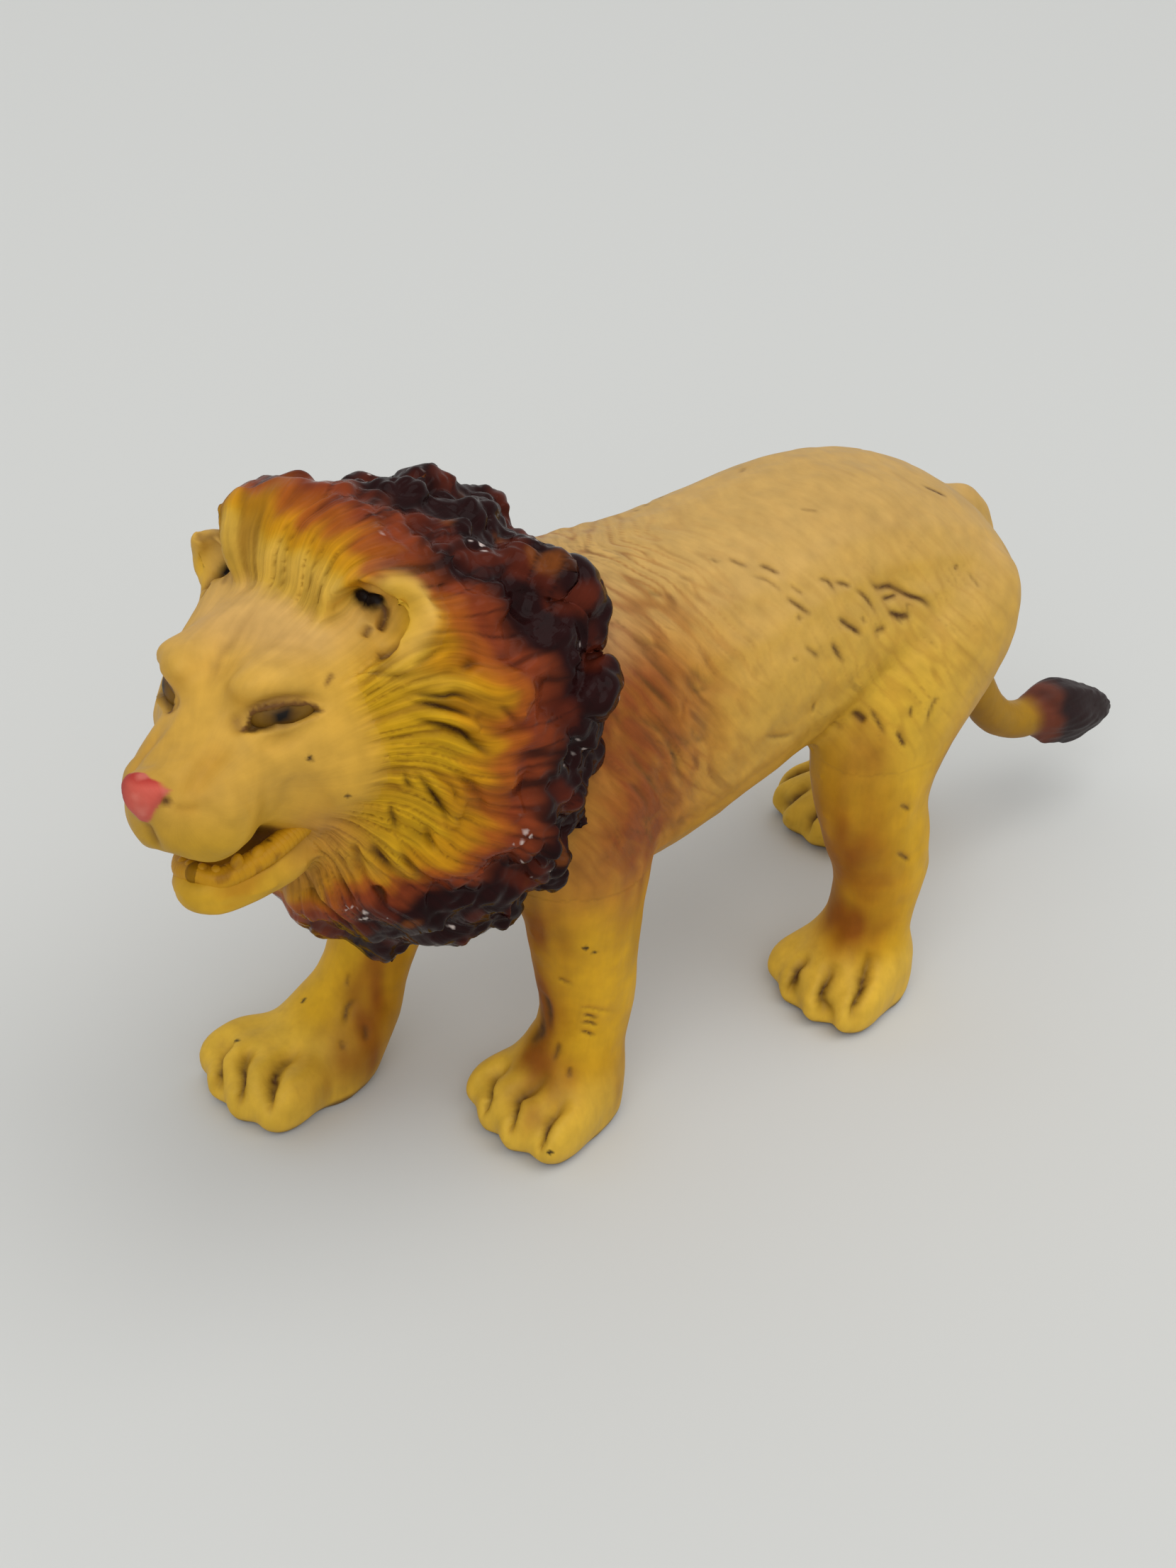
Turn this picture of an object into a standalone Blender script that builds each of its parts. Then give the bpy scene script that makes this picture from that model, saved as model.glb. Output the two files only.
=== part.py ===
# Toy lion: a walking lion figure moulded in soft plastic and cemented together from nine mouldings.
# Metres, +Z up. The lion faces -Y and its left side is +X.
import math

import bpy
from mathutils import Matrix, Vector

# Driving dimensions of the body
BODY_LENGTH = 0.110
BACK_HEIGHT = 0.072
TORSO_WIDTH = 0.034

# Driving dimensions of the legs and paws
FORE_STANCE = 0.0230
HIND_STANCE = 0.0280
FORELEG_GIRTH = 0.0124
HINDLEG_GIRTH = 0.0128
PAW_WIDTH = 0.0158
PAW_LENGTH = 0.0205
PAW_HEIGHT = 0.0082

# Driving dimensions of the head
HEAD_LENGTH = 0.0360
HEAD_WIDTH = 0.0270
HEAD_HEIGHT = 0.0270
MUZZLE_WIDTH = 0.0128
JAW_LENGTH = 0.0190
JAW_DEPTH = 0.0062
EAR_WIDTH = 0.0076
EYE_WIDTH = 0.0046
NOSE_WIDTH = 0.0058
TOOTH_HEIGHT = 0.0015
TEETH_ON_A_SIDE = 5

# Driving dimensions of the mane: how far the face stands out of it, how far it runs back behind the head,
# and how far it stands out beside the head and over or under it
FACE_BARE = 0.0150
MANE_BACK = 0.0130
MANE_SIDE = 0.0069
MANE_RISE = 0.0105
LOCK_RELIEF = 0.0034
LOCK_OVERHANG = 0.0028

# Driving dimensions of the tail
TAIL_GIRTH = 0.0058
TUFT_GIRTH = 0.0086
TUFT_LENGTH = 0.0200

TUFT_DROP = math.radians(18)

MANE_DEPTH = HEAD_LENGTH - FACE_BARE + MANE_BACK
MANE_WIDTH = HEAD_WIDTH + 2 * MANE_SIDE
MANE_HEIGHT = HEAD_HEIGHT + 2 * MANE_RISE

# Clearance at the cemented seats, and how far a cutter runs past what it cuts
SEAT_GAP = 0.0003
OVERRUN = 0.0100

# The head's place along BODY_LENGTH and up BACK_HEIGHT, and the mane's behind it along HEAD_LENGTH and
# up HEAD_HEIGHT
HEAD_PLACE_shares = (-0.462, 0.915)
MANE_PLACE_shares = (0.324, -0.290)
HEAD_YAW = math.radians(18)
HEAD_PITCH = math.radians(13)
HEAD_ROLL = math.radians(9)
MANE_YAW = math.radians(7)
MANE_PITCH = math.radians(18)
MANE_ROLL = math.radians(4)

# Torso stations from neck to rump: along, top, bottom, half width
TORSO_shares = [
    (-0.380, 0.960, 0.640, 0.24),
    (-0.350, 1.000, 0.560, 0.34),
    (-0.290, 1.015, 0.450, 0.43),
    (-0.210, 1.005, 0.400, 0.485),
    (-0.110, 0.990, 0.405, 0.505),
    (0.000, 0.980, 0.440, 0.49),
    (0.110, 0.992, 0.490, 0.465),
    (0.200, 0.998, 0.525, 0.460),
    (0.290, 0.970, 0.540, 0.470),
    (0.365, 0.925, 0.540, 0.460),
    (0.420, 0.865, 0.530, 0.415),
    (0.466, 0.790, 0.545, 0.325),
    (0.496, 0.720, 0.570, 0.190),
]

# How far the rounded ends of the torso stand out, of BODY_LENGTH, and of the legs' tops, of BACK_HEIGHT
NECK_END_share = 0.02
RUMP_END_share = 0.012
LEG_END_share = 0.012

# How full the corners of the torso and the jaw are; 1 is an ellipse
TORSO_FULLNESS = 0.92
JAW_FULLNESS = 0.85

# Leg stations from inside the body down to the sole: across, along, up, half width, half depth
LEFT_FORELEG_shares = [
    (0.78, -0.190, 0.830, 0.36, 0.50),
    (0.86, -0.190, 0.770, 0.54, 0.74),
    (0.92, -0.192, 0.690, 0.62, 0.86),
    (0.94, -0.190, 0.600, 0.61, 0.84),
    (0.96, -0.186, 0.520, 0.57, 0.74),
    (1.00, -0.181, 0.440, 0.51, 0.62),
    (1.03, -0.169, 0.290, 0.45, 0.51),
    (1.01, -0.163, 0.220, 0.43, 0.47),
    (0.99, -0.166, 0.165, 0.44, 0.46),
    (0.97, -0.176, 0.110, 0.50, 0.54),
    (0.96, -0.184, 0.055, 0.55, 0.62),
    (0.96, -0.186, 0.000, 0.54, 0.62),
]
RIGHT_FORELEG_shares = [
    (0.78, -0.200, 0.830, 0.36, 0.50),
    (0.86, -0.205, 0.770, 0.54, 0.74),
    (0.92, -0.212, 0.690, 0.62, 0.86),
    (0.94, -0.222, 0.600, 0.61, 0.84),
    (0.96, -0.238, 0.520, 0.57, 0.72),
    (0.98, -0.256, 0.440, 0.51, 0.60),
    (0.98, -0.288, 0.290, 0.45, 0.49),
    (0.98, -0.301, 0.220, 0.43, 0.47),
    (0.98, -0.316, 0.165, 0.44, 0.49),
    (0.98, -0.340, 0.110, 0.50, 0.62),
    (0.98, -0.370, 0.055, 0.55, 0.70),
    (0.98, -0.380, 0.000, 0.54, 0.68),
]
LEFT_HINDLEG_shares = [
    (0.80, 0.335, 0.850, 0.18, 0.36),
    (0.83, 0.330, 0.810, 0.34, 0.76),
    (0.86, 0.318, 0.740, 0.50, 0.98),
    (0.88, 0.298, 0.660, 0.54, 1.04),
    (0.89, 0.268, 0.580, 0.55, 0.94),
    (0.90, 0.240, 0.500, 0.56, 0.76),
    (0.98, 0.230, 0.420, 0.50, 0.61),
    (1.04, 0.240, 0.340, 0.46, 0.56),
    (1.06, 0.255, 0.275, 0.44, 0.53),
    (1.06, 0.253, 0.205, 0.42, 0.45),
    (1.05, 0.247, 0.140, 0.44, 0.46),
    (1.05, 0.240, 0.080, 0.52, 0.60),
    (1.05, 0.238, 0.000, 0.52, 0.62),
]
RIGHT_HINDLEG_shares = [
    (0.80, 0.345, 0.840, 0.18, 0.36),
    (0.83, 0.345, 0.800, 0.33, 0.74),
    (0.86, 0.345, 0.730, 0.49, 0.96),
    (0.88, 0.345, 0.650, 0.53, 1.02),
    (0.89, 0.365, 0.570, 0.54, 0.92),
    (0.88, 0.400, 0.490, 0.56, 0.76),
    (0.92, 0.450, 0.415, 0.50, 0.61),
    (0.94, 0.505, 0.340, 0.46, 0.56),
    (0.94, 0.540, 0.275, 0.44, 0.53),
    (0.94, 0.533, 0.205, 0.42, 0.46),
    (0.94, 0.512, 0.140, 0.44, 0.48),
    (0.94, 0.492, 0.080, 0.52, 0.64),
    (0.94, 0.484, 0.000, 0.52, 0.66),
]

# Each paw: half the stance that it stands on, and its middle along
PAW_PLACES_shares = {
    "left_foreleg": (1.02, -0.192),
    "right_foreleg": (-0.98, -0.405),
    "left_hindleg": (1.07, 0.236),
    "right_hindleg": (-0.94, 0.480),
}

# Toes from the inner to the outer one: across, forward of the paw's middle, size
TOES_shares = [(-0.36, 0.17, 0.92), (-0.125, 0.23, 1.0), (0.125, 0.23, 1.0), (0.36, 0.17, 0.94)]
TOE_FAN = math.radians(28)
TOE_SLOPE = math.radians(9)

# Head stations from the neck plug to the nose: forward, middle up, half width, half top, half bottom
HEAD_shares = [
    (-0.42, -0.06, 0.20, 0.22, 0.24),
    (-0.32, 0.00, 0.36, 0.36, 0.42),
    (-0.16, 0.03, 0.46, 0.44, 0.50),
    (0.00, 0.03, 0.50, 0.46, 0.57),
    (0.12, 0.02, 0.50, 0.43, 0.60),
    (0.25, 0.00, 0.435, 0.38, 0.52),
    (0.36, -0.05, 0.335, 0.29, 0.35),
    (0.45, -0.11, 0.265, 0.22, 0.29),
    (0.54, -0.16, 0.230, 0.165, 0.25),
    (0.62, -0.195, 0.195, 0.135, 0.22),
    (0.69, -0.215, 0.125, 0.095, 0.16),
]

# Half sizes of an ear: across, deep, tall
EAR_shares = (0.50, 0.34, 0.56)

# How far in front of an ear the mane is cleared, of EAR_WIDTH
EAR_CLEARING_share = 0.60

# Modelling strokes on the head: forward, side, up, reach, then the push forward, outward and up, all of
# HEAD_LENGTH; a stroke off the middle is repeated on the other side
HEAD_STROKES_shares = [
    (0.36, 0.14, 0.13, 0.15, 0.055, 0.010, 0.055),
    (0.46, 0.24, 0.04, 0.10, -0.050, -0.030, 0.000),
    (0.47, 0.00, 0.06, 0.13, 0.000, 0.000, 0.040),
    (0.33, 0.00, 0.24, 0.10, 0.000, 0.000, -0.030),
    (0.20, 0.34, -0.14, 0.22, 0.010, 0.060, -0.010),
    (0.54, 0.15, -0.22, 0.13, 0.010, 0.045, -0.025),
    (0.69, 0.00, -0.26, 0.07, -0.030, 0.000, 0.000),
    (0.36, 0.26, -0.19, 0.10, 0.000, -0.035, 0.020),
    (0.10, 0.00, 0.36, 0.20, 0.000, 0.000, 0.030),
]

# How far the jaw hangs below the head's middle, of HEAD_HEIGHT
JAW_DROP_share = 0.4593

# Lower jaw stations from its hidden root to the chin: forward, top, bottom, half width
JAW_shares = [
    (0.12, 0.40, -0.50, 0.30),
    (0.28, 0.28, -0.72, 0.46),
    (0.46, 0.02, -0.88, 0.54),
    (0.66, -0.24, -1.00, 0.48),
    (0.83, -0.40, -1.12, 0.38),
    (0.95, -0.46, -1.12, 0.28),
    (1.02, -0.56, -0.98, 0.15),
]

# Mane stations from the nape to the face: forward, middle up, half width, half height
MANE_shares = [
    (-0.47, -0.02, 0.22, 0.24),
    (-0.40, -0.03, 0.36, 0.37),
    (-0.26, -0.02, 0.46, 0.46),
    (-0.10, -0.01, 0.50, 0.50),
    (0.06, 0.01, 0.49, 0.50),
    (0.20, 0.03, 0.460, 0.485),
    (0.34, 0.06, 0.420, 0.460),
    (0.46, 0.10, 0.360, 0.420),
    (0.56, 0.13, 0.290, 0.350),
    (0.61, 0.14, 0.200, 0.255),
]

# Rows of locks from the face to the nape: where the row ends (forward), relief, turn in locks
LOCK_ROWS_shares = [
    (0.50, 0.30, 0.5),
    (0.36, 0.50, 0.0),
    (0.18, 0.75, 0.5),
    (-0.02, 0.95, 0.0),
    (-0.22, 1.15, 0.5),
    (-0.40, 1.10, 0.0),
]
LOCKS_IN_A_ROW = 16
POINTS_ON_A_LOCK = 4

# The rise of a lock from its root to its tip: how far along, how much of its relief
LOCK_RISE_shares = [(0.0, 0.12), (0.34, 0.55), (0.68, 0.88), (0.96, 1.0)]
LOCK_GROOVE_share = 0.25
LOCK_ROUNDNESS = 1.7
UNEVEN_RELIEF_share = 0.28
RAGGED_TIPS_share = 0.35

# How much of the last row's relief and lean is left halfway to the nape
NAPE_RELIEF_share = 0.1
NAPE_LEAN_share = 0.6

# Tail from its root on the rump to the tuft: along, up, girth
TAIL_shares = [
    (0.400, 0.840, 0.55),
    (0.446, 0.820, 0.95),
    (0.475, 0.750, 1.10),
    (0.489, 0.650, 1.08),
    (0.501, 0.540, 1.02),
    (0.522, 0.440, 1.00),
    (0.556, 0.350, 0.97),
    (0.597, 0.283, 0.95),
    (0.642, 0.252, 0.95),
    (0.680, 0.250, 0.95),
]

# How much of the tuft's length lies over the tail's end, and how far its rounded ends stand out
TUFT_OVERLAP_share = 0.12
TUFT_ROOT_share = 0.04
TUFT_TIP_share = 0.03

# Tuft from the end of the tail to its tip: along its length, girth
TUFT_shares = [(0.00, 0.62), (0.14, 0.88), (0.34, 1.0), (0.60, 0.94), (0.84, 0.66), (1.0, 0.20)]

STEPS_BETWEEN_STATIONS = 2
RING_POINTS = 16
SHARP_EDGE = math.radians(50)


def clear_scene():
    for item in list(bpy.data.objects):
        bpy.data.objects.remove(item, do_unlink=True)


def moulded_plastic(name, color, roughness):
    material = bpy.data.materials.new(name)
    material.use_nodes = True
    shader = material.node_tree.nodes["Principled BSDF"]
    shader.inputs["Base Color"].default_value = (*color, 1.0)
    shader.inputs["Roughness"].default_value = roughness
    shader.inputs["Metallic"].default_value = 0.0
    return material


def between(t, p, q, r, s):
    """The value at t between q and r on the curve through all four."""
    bend = (2 * p - 5 * q + 4 * r - s) * t**2 + (3 * q - p - 3 * r + s) * t**3
    return (2 * q + (r - p) * t + bend) / 2


def smoothed(rows, steps=STEPS_BETWEEN_STATIONS):
    """The rows with a Catmull-Rom curve drawn through them."""
    ends = [rows[0]] + list(rows) + [rows[-1]]
    curve = []
    for a, b, c, d in zip(ends, ends[1:], ends[2:], ends[3:]):
        for step in range(steps):
            curve.append(tuple(between(step / steps, *four) for four in zip(a, b, c, d)))
    curve.append(tuple(rows[-1]))
    return curve


def oval(center, right, up, half_right, half_top, half_bottom, points=RING_POINTS, square=1.0):
    """A ring of points: an ellipse whose top and bottom halves may differ; square < 1 fills its corners."""
    ring = []
    for k in range(points):
        angle = 2 * math.pi * k / points
        x = math.copysign(abs(math.cos(angle)) ** square, math.cos(angle))
        y = math.copysign(abs(math.sin(angle)) ** square, math.sin(angle))
        half = half_top if y >= 0 else half_bottom
        ring.append(center + right * (half_right * x) + up * (half * y))
    return ring


def solid_from_rings(rings, tips=(None, None)):
    """Vertices and faces of a closed skin through the rings, capped flat or drawn to a tip."""
    count = len(rings[0])
    verts = [point for ring in rings for point in ring]
    faces = []
    for r in range(len(rings) - 1):
        for k in range(count):
            n = (k + 1) % count
            faces.append((r * count + k, r * count + n, (r + 1) * count + n, (r + 1) * count + k))
    for at_end, tip in enumerate(tips):
        start = (len(rings) - 1) * count if at_end else 0
        ring = [start + k for k in range(count)]
        if tip is None:
            faces.append(tuple(ring if at_end else reversed(ring)))
            continue
        verts.append(tip)
        apex = len(verts) - 1
        for k in range(count):
            edge = (ring[k], ring[(k + 1) % count])
            faces.append((*edge, apex) if at_end else (edge[1], edge[0], apex))
    return verts, faces


def facing_out(verts, faces):
    """The faces, reversed if the skin is inside out."""
    volume = 0.0
    for face in faces:
        for k in range(1, len(face) - 1):
            volume += verts[face[0]].dot(verts[face[k]].cross(verts[face[k + 1]]))
    return faces if volume > 0 else [tuple(reversed(face)) for face in faces]


def add_object(name, shells, material=None, place=None):
    """One object from closed skins; the skins may overlap where a Boolean joins them later."""
    verts = []
    faces = []
    for shell_verts, shell_faces in shells:
        base = len(verts)
        verts.extend(shell_verts)
        faces.extend(tuple(base + k for k in face) for face in facing_out(shell_verts, shell_faces))
    mesh = bpy.data.meshes.new(name)
    mesh.from_pydata([tuple(point) for point in verts], [], faces)
    mesh.update()
    mesh.shade_smooth()
    mesh.set_sharp_from_angle(angle=SHARP_EDGE)
    item = bpy.data.objects.new(name, mesh)
    bpy.context.scene.collection.objects.link(item)
    if place is not None:
        item.matrix_world = place
    if material is not None:
        mesh.materials.append(material)
    return item


def as_guide(item):
    item.hide_render = True
    item.display_type = "WIRE"
    return item


def boolean(item, other, operation, within_itself=False, solver="EXACT"):
    modifier = item.modifiers.new(f"{operation.lower()} {other.name}", "BOOLEAN")
    modifier.operation = operation
    modifier.solver = solver
    modifier.use_self = within_itself
    modifier.object = as_guide(other)
    return modifier


def lump(center, halves, rings=7, points=12, turn=None):
    """An egg-shaped skin with the given half sizes, its poles up and down."""
    turn = turn or Matrix.Identity(3)
    right, depth, up = (turn @ axis for axis in (Vector((1, 0, 0)), Vector((0, 1, 0)), Vector((0, 0, 1))))
    skin = []
    for r in range(1, rings):
        angle = math.pi * r / rings
        middle = center + up * (-halves[2] * math.cos(angle))
        half_right, half_depth = (half * math.sin(angle) for half in halves[:2])
        skin.append(oval(middle, right, depth, half_right, half_depth, half_depth, points))
    return solid_from_rings(skin, (center - up * halves[2], center + up * halves[2]))


def local_frame(place, yaw, pitch, roll):
    """A frame whose -Y looks where the head looks: turned to the lion's left, raised and tilted."""
    turn = Matrix.Rotation(yaw, 4, "Z") @ Matrix.Rotation(-pitch, 4, "X") @ Matrix.Rotation(-roll, 4, "Y")
    return Matrix.Translation(place) @ turn


# Body


def torso_skin(grow=0.0):
    rings = []
    for along, top, bottom, half_width in smoothed(TORSO_shares):
        middle = (top + bottom) / 2
        half = (top - bottom) / 2 * BACK_HEIGHT + grow
        center = Vector((0, along * BODY_LENGTH, middle * BACK_HEIGHT))
        width = half_width * TORSO_WIDTH + grow
        rings.append(oval(center, Vector((1, 0, 0)), Vector((0, 0, 1)), width, half, half, 22, TORSO_FULLNESS))
    first, last = TORSO_shares[0], TORSO_shares[-1]
    neck_tip = Vector((0, (first[0] - NECK_END_share) * BODY_LENGTH - grow, (first[1] + first[2]) / 2 * BACK_HEIGHT))
    rump_tip = Vector((0, (last[0] + RUMP_END_share) * BODY_LENGTH + grow, (last[1] + last[2]) / 2 * BACK_HEIGHT))
    return solid_from_rings(rings, (neck_tip, rump_tip))


# Legs


def leg_skin(stations, stance, girth, side, grow=0.0):
    rings = []
    for across, along, up, half_width, half_depth in smoothed(stations):
        center = Vector((side * across * stance / 2, along * BODY_LENGTH, up * BACK_HEIGHT))
        width = half_width * girth + grow
        depth = half_depth * girth + grow
        rings.append(oval(center, Vector((1, 0, 0)), Vector((0, 1, 0)), width, depth, depth))
    top = rings[0]
    center = sum(top, Vector()) / len(top)
    tip = center + Vector((0, 0, LEG_END_share * BACK_HEIGHT + grow))
    return solid_from_rings(rings, (tip, None))


def toe_skins(leg, stance, side):
    """Four toes across the front of the paw, fanned a little and sloping down to their tips."""
    across, along = PAW_PLACES_shares[leg]
    middle = Vector((across * stance / 2, along * BODY_LENGTH, 0))
    skins = []
    for toe_across, toe_forward, size in TOES_shares:
        place = middle + Vector((side * toe_across * PAW_WIDTH, -toe_forward * PAW_LENGTH, 0))
        place.z = 0.44 * PAW_HEIGHT
        halves = (0.150 * PAW_WIDTH * size, 0.30 * PAW_LENGTH * size, 0.50 * PAW_HEIGHT * size)
        fan = Matrix.Rotation(side * toe_across * TOE_FAN, 3, "Z")
        skins.append(lump(place, halves, 7, 10, fan @ Matrix.Rotation(TOE_SLOPE, 3, "X")))
    return skins


def make_leg(name, stations, stance, girth, side, material, floor):
    leg = add_object(name, [leg_skin(stations, stance, girth, side)], material)
    toes = add_object(f"{name}_toes", toe_skins(name, stance, side))
    boolean(leg, toes, "UNION", within_itself=True)
    boolean(leg, floor, "DIFFERENCE")
    cutter = add_object(f"{name}_seat", [leg_skin(stations, stance, girth, side, SEAT_GAP)])
    return leg, as_guide(cutter)


# Head


def stroked(point):
    """The point moved as the modelling strokes pull and press the head."""
    moved = point.copy()
    for forward, side, up, reach, push_forward, push_out, push_up in HEAD_STROKES_shares:
        for hand in ((-1, 1) if side else (1,)):
            center = Vector((hand * side, -forward, up)) * HEAD_LENGTH
            near = 1 - (point - center).length_squared / (reach * HEAD_LENGTH) ** 2
            if near > 0:
                moved += Vector((hand * push_out, -push_forward, push_up)) * (HEAD_LENGTH * near * near)
    return moved


def head_skin(grow=0.0):
    rings = []
    for forward, middle, half_width, half_top, half_bottom in smoothed(HEAD_shares):
        center = Vector((0, -forward * HEAD_LENGTH, middle * HEAD_HEIGHT))
        top = half_top * HEAD_HEIGHT + grow
        bottom = half_bottom * HEAD_HEIGHT + grow
        width = half_width * HEAD_WIDTH + grow
        ring = oval(center, Vector((1, 0, 0)), Vector((0, 0, 1)), width, top, bottom, 28)
        rings.append([stroked(point) for point in ring])
    nape = Vector((0, 0.44 * HEAD_LENGTH + grow, -0.06 * HEAD_HEIGHT))
    nose = Vector((0, -0.71 * HEAD_LENGTH - grow, -0.22 * HEAD_HEIGHT))
    return solid_from_rings(rings, (nape, nose))


def ear_place(side):
    return Vector((side * 0.385 * HEAD_WIDTH, -0.04 * HEAD_LENGTH, 0.370 * HEAD_HEIGHT))


def make_head(place, material):
    head = add_object("head", [head_skin()], material, place)
    features = []
    hollows = []
    for side in (-1, 1):
        features.append(lump(ear_place(side), [share * EAR_WIDTH for share in EAR_shares], 8, 14))
        cup = ear_place(side) + Vector((side * 0.10 * EAR_WIDTH, -0.30 * EAR_WIDTH, 0.06 * EAR_WIDTH))
        hollows.append(lump(cup, (0.31 * EAR_WIDTH, 0.30 * EAR_WIDTH, 0.36 * EAR_WIDTH), 7, 12))
        eye = Vector((side * 0.238 * HEAD_WIDTH, -0.425 * HEAD_LENGTH, 0.055 * HEAD_HEIGHT))
        hollows.append(lump(eye, (0.50 * EYE_WIDTH, 0.34 * EYE_WIDTH, 0.26 * EYE_WIDTH), 7, 12))
    nose = Vector((0, -0.690 * HEAD_LENGTH, -0.165 * HEAD_HEIGHT))
    features.append(lump(nose, (0.5 * NOSE_WIDTH, 0.36 * NOSE_WIDTH, 0.36 * NOSE_WIDTH), 6, 10))
    boolean(head, add_object("head_features", features, None, place), "UNION", within_itself=True)
    boolean(head, add_object("head_hollows", hollows, None, place), "DIFFERENCE")
    eyes = []
    for side in (-1, 1):
        eye = Vector((side * 0.225 * HEAD_WIDTH, -0.400 * HEAD_LENGTH, 0.055 * HEAD_HEIGHT))
        eyes.append(lump(eye, (0.46 * EYE_WIDTH, 0.34 * EYE_WIDTH, 0.30 * EYE_WIDTH), 7, 12))
    boolean(head, add_object("head_eyes", eyes, None, place), "UNION")
    seats = [add_object("head_seat", [head_skin(SEAT_GAP)], None, place)]
    for name, forward, deeper in (("ears_seat", 0.0, 0.0), ("ears_clearing", EAR_CLEARING_share, EAR_CLEARING_share)):
        skins = []
        for side in (-1, 1):
            across, deep, tall = EAR_shares
            halves = [share * EAR_WIDTH + SEAT_GAP for share in (across, deep + deeper, tall)]
            skins.append(lump(ear_place(side) - Vector((0, forward * EAR_WIDTH, 0)), halves, 8, 14))
        seats.append(add_object(name, skins, None, place))
    return head, [as_guide(seat) for seat in seats]


# Lower jaw


def on_jaw(side, forward, up):
    """A place on the jaw: across of MUZZLE_WIDTH, forward of JAW_LENGTH and up of JAW_DEPTH."""
    drop = JAW_DROP_share * HEAD_HEIGHT
    return Vector((side * MUZZLE_WIDTH, -forward * JAW_LENGTH, up * JAW_DEPTH - drop))


def jaw_skin(grow=0.0):
    rings = []
    for forward, top, bottom, half_width in smoothed(JAW_shares):
        center = on_jaw(0, forward, (top + bottom) / 2)
        half = (top - bottom) / 2 * JAW_DEPTH + grow
        width = half_width * MUZZLE_WIDTH + grow
        rings.append(oval(center, Vector((1, 0, 0)), Vector((0, 0, 1)), width, half, half, 14, JAW_FULLNESS))
    root = on_jaw(0, 0.06, -0.05) + Vector((0, grow, 0))
    chin = on_jaw(0, 1.05, -0.77) - Vector((0, grow, 0))
    return solid_from_rings(rings, (root, chin))


def teeth_skins():
    skins = []
    for side in (-1, 1):
        for k in range(TEETH_ON_A_SIDE):
            share = k / (TEETH_ON_A_SIDE - 1)
            forward = 0.50 + 0.43 * share
            across = 0.40 - 0.26 * share**1.6
            base = on_jaw(side * across, forward, -0.22 - 0.30 * share)
            halves = (0.45 * TOOTH_HEIGHT, 0.50 * TOOTH_HEIGHT, TOOTH_HEIGHT)
            skins.append(lump(base, halves, 4, 6))
    return skins


def make_jaw(place, material):
    jaw = add_object("lower_jaw", [jaw_skin()], material, place)
    boolean(jaw, add_object("jaw_teeth", teeth_skins(), None, place), "UNION")
    seat = add_object("jaw_seat", [jaw_skin(SEAT_GAP)], None, place)
    return jaw, as_guide(seat)


# Mane


def mane_section(forward):
    """Middle, half width and half height of the mane's core where it lies that far forward."""
    rows = MANE_shares
    for a, b in zip(rows, rows[1:]):
        if forward <= b[0]:
            break
    t = min(max((forward - a[0]) / (b[0] - a[0]), 0.0), 1.0)
    middle, width, height = (p + (q - p) * t for p, q in zip(a[1:], b[1:]))
    return middle * MANE_HEIGHT, width * MANE_WIDTH, height * MANE_HEIGHT


def across_lock(k, turn):
    """How far point k of a ring stands from the groove beside its lock, 0 to 1, and the lock's number."""
    place = k / POINTS_ON_A_LOCK + turn
    cell = place - math.floor(place)
    return 1 - abs(2 * cell - 1) ** LOCK_ROUNDNESS, math.floor(place) % LOCKS_IN_A_ROW


def mane_ring(forward, step, relief, turn, overhang_turn, overhang):
    """One ring of the carved mane; its points lean back towards the tips of the locks."""
    ring = []
    count = LOCKS_IN_A_ROW * POINTS_ON_A_LOCK
    for k in range(count):
        angle = 2 * math.pi * k / count
        crest, lock = across_lock(k, turn)
        lean, leaning_lock = across_lock(k, overhang_turn)
        uneven = 1 + UNEVEN_RELIEF_share * math.sin(lock * 2.4 + relief * 31)
        reach = overhang * lean * (1 + RAGGED_TIPS_share * math.sin(leaning_lock * 3.1 + overhang_turn * 7))
        back = forward - reach * LOCK_OVERHANG / MANE_DEPTH
        middle, half_width, half_height = mane_section(back)
        carved = LOCK_GROOVE_share + (1 - LOCK_GROOVE_share) * crest
        rise = LOCK_RELIEF * relief * step * carved * uneven
        out = Vector((math.cos(angle), 0, math.sin(angle)))
        ring.append(Vector((
            (half_width + rise) * out.x, -back * MANE_DEPTH, middle + (half_height + rise) * out.z)))
    return ring


def mane_skin():
    """Rows of locks like shingles: each lock rises to its tip and drops to the root of the next row."""
    rings = []
    start = MANE_shares[-1][0]
    before = LOCK_ROWS_shares[0][2]
    lean_from, lean_to = LOCK_RISE_shares[1][0], LOCK_RISE_shares[-1][0]
    for row, (end, relief, turn) in enumerate(LOCK_ROWS_shares):
        for t, step in LOCK_RISE_shares:
            left_over = (max(0.0, 1 - t / lean_from) if row else 0.0, before)
            growing = (max(0.0, (t - lean_from) / (lean_to - lean_from)), turn)
            overhang, overhang_turn = max(growing, left_over, key=lambda lean: lean[0])
            rings.append(mane_ring(start + (end - start) * t, step, relief, turn, overhang_turn, overhang))
        start = end
        before = turn
    last = MANE_shares[0][0]
    rings.append(mane_ring((start + last) / 2, NAPE_RELIEF_share, 1.0, before, before, NAPE_LEAN_share))
    rings.append(mane_ring(last, 0.0, 1.0, before, before, 0.0))
    nape = Vector((0, 0.49 * MANE_DEPTH, 0.04 * MANE_HEIGHT))
    face = Vector((0, -0.63 * MANE_DEPTH, 0.11 * MANE_HEIGHT))
    return solid_from_rings(rings, (face, nape))


def make_mane(place, material, cutters):
    """The carved ring of hair, hollowed for the neck, shoulders and head; the exact solver loses it."""
    mane = add_object("mane", [mane_skin()], material, place)
    for cutter in cutters:
        boolean(mane, cutter, "DIFFERENCE", solver="MANIFOLD")
    return mane


# Tail


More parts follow.
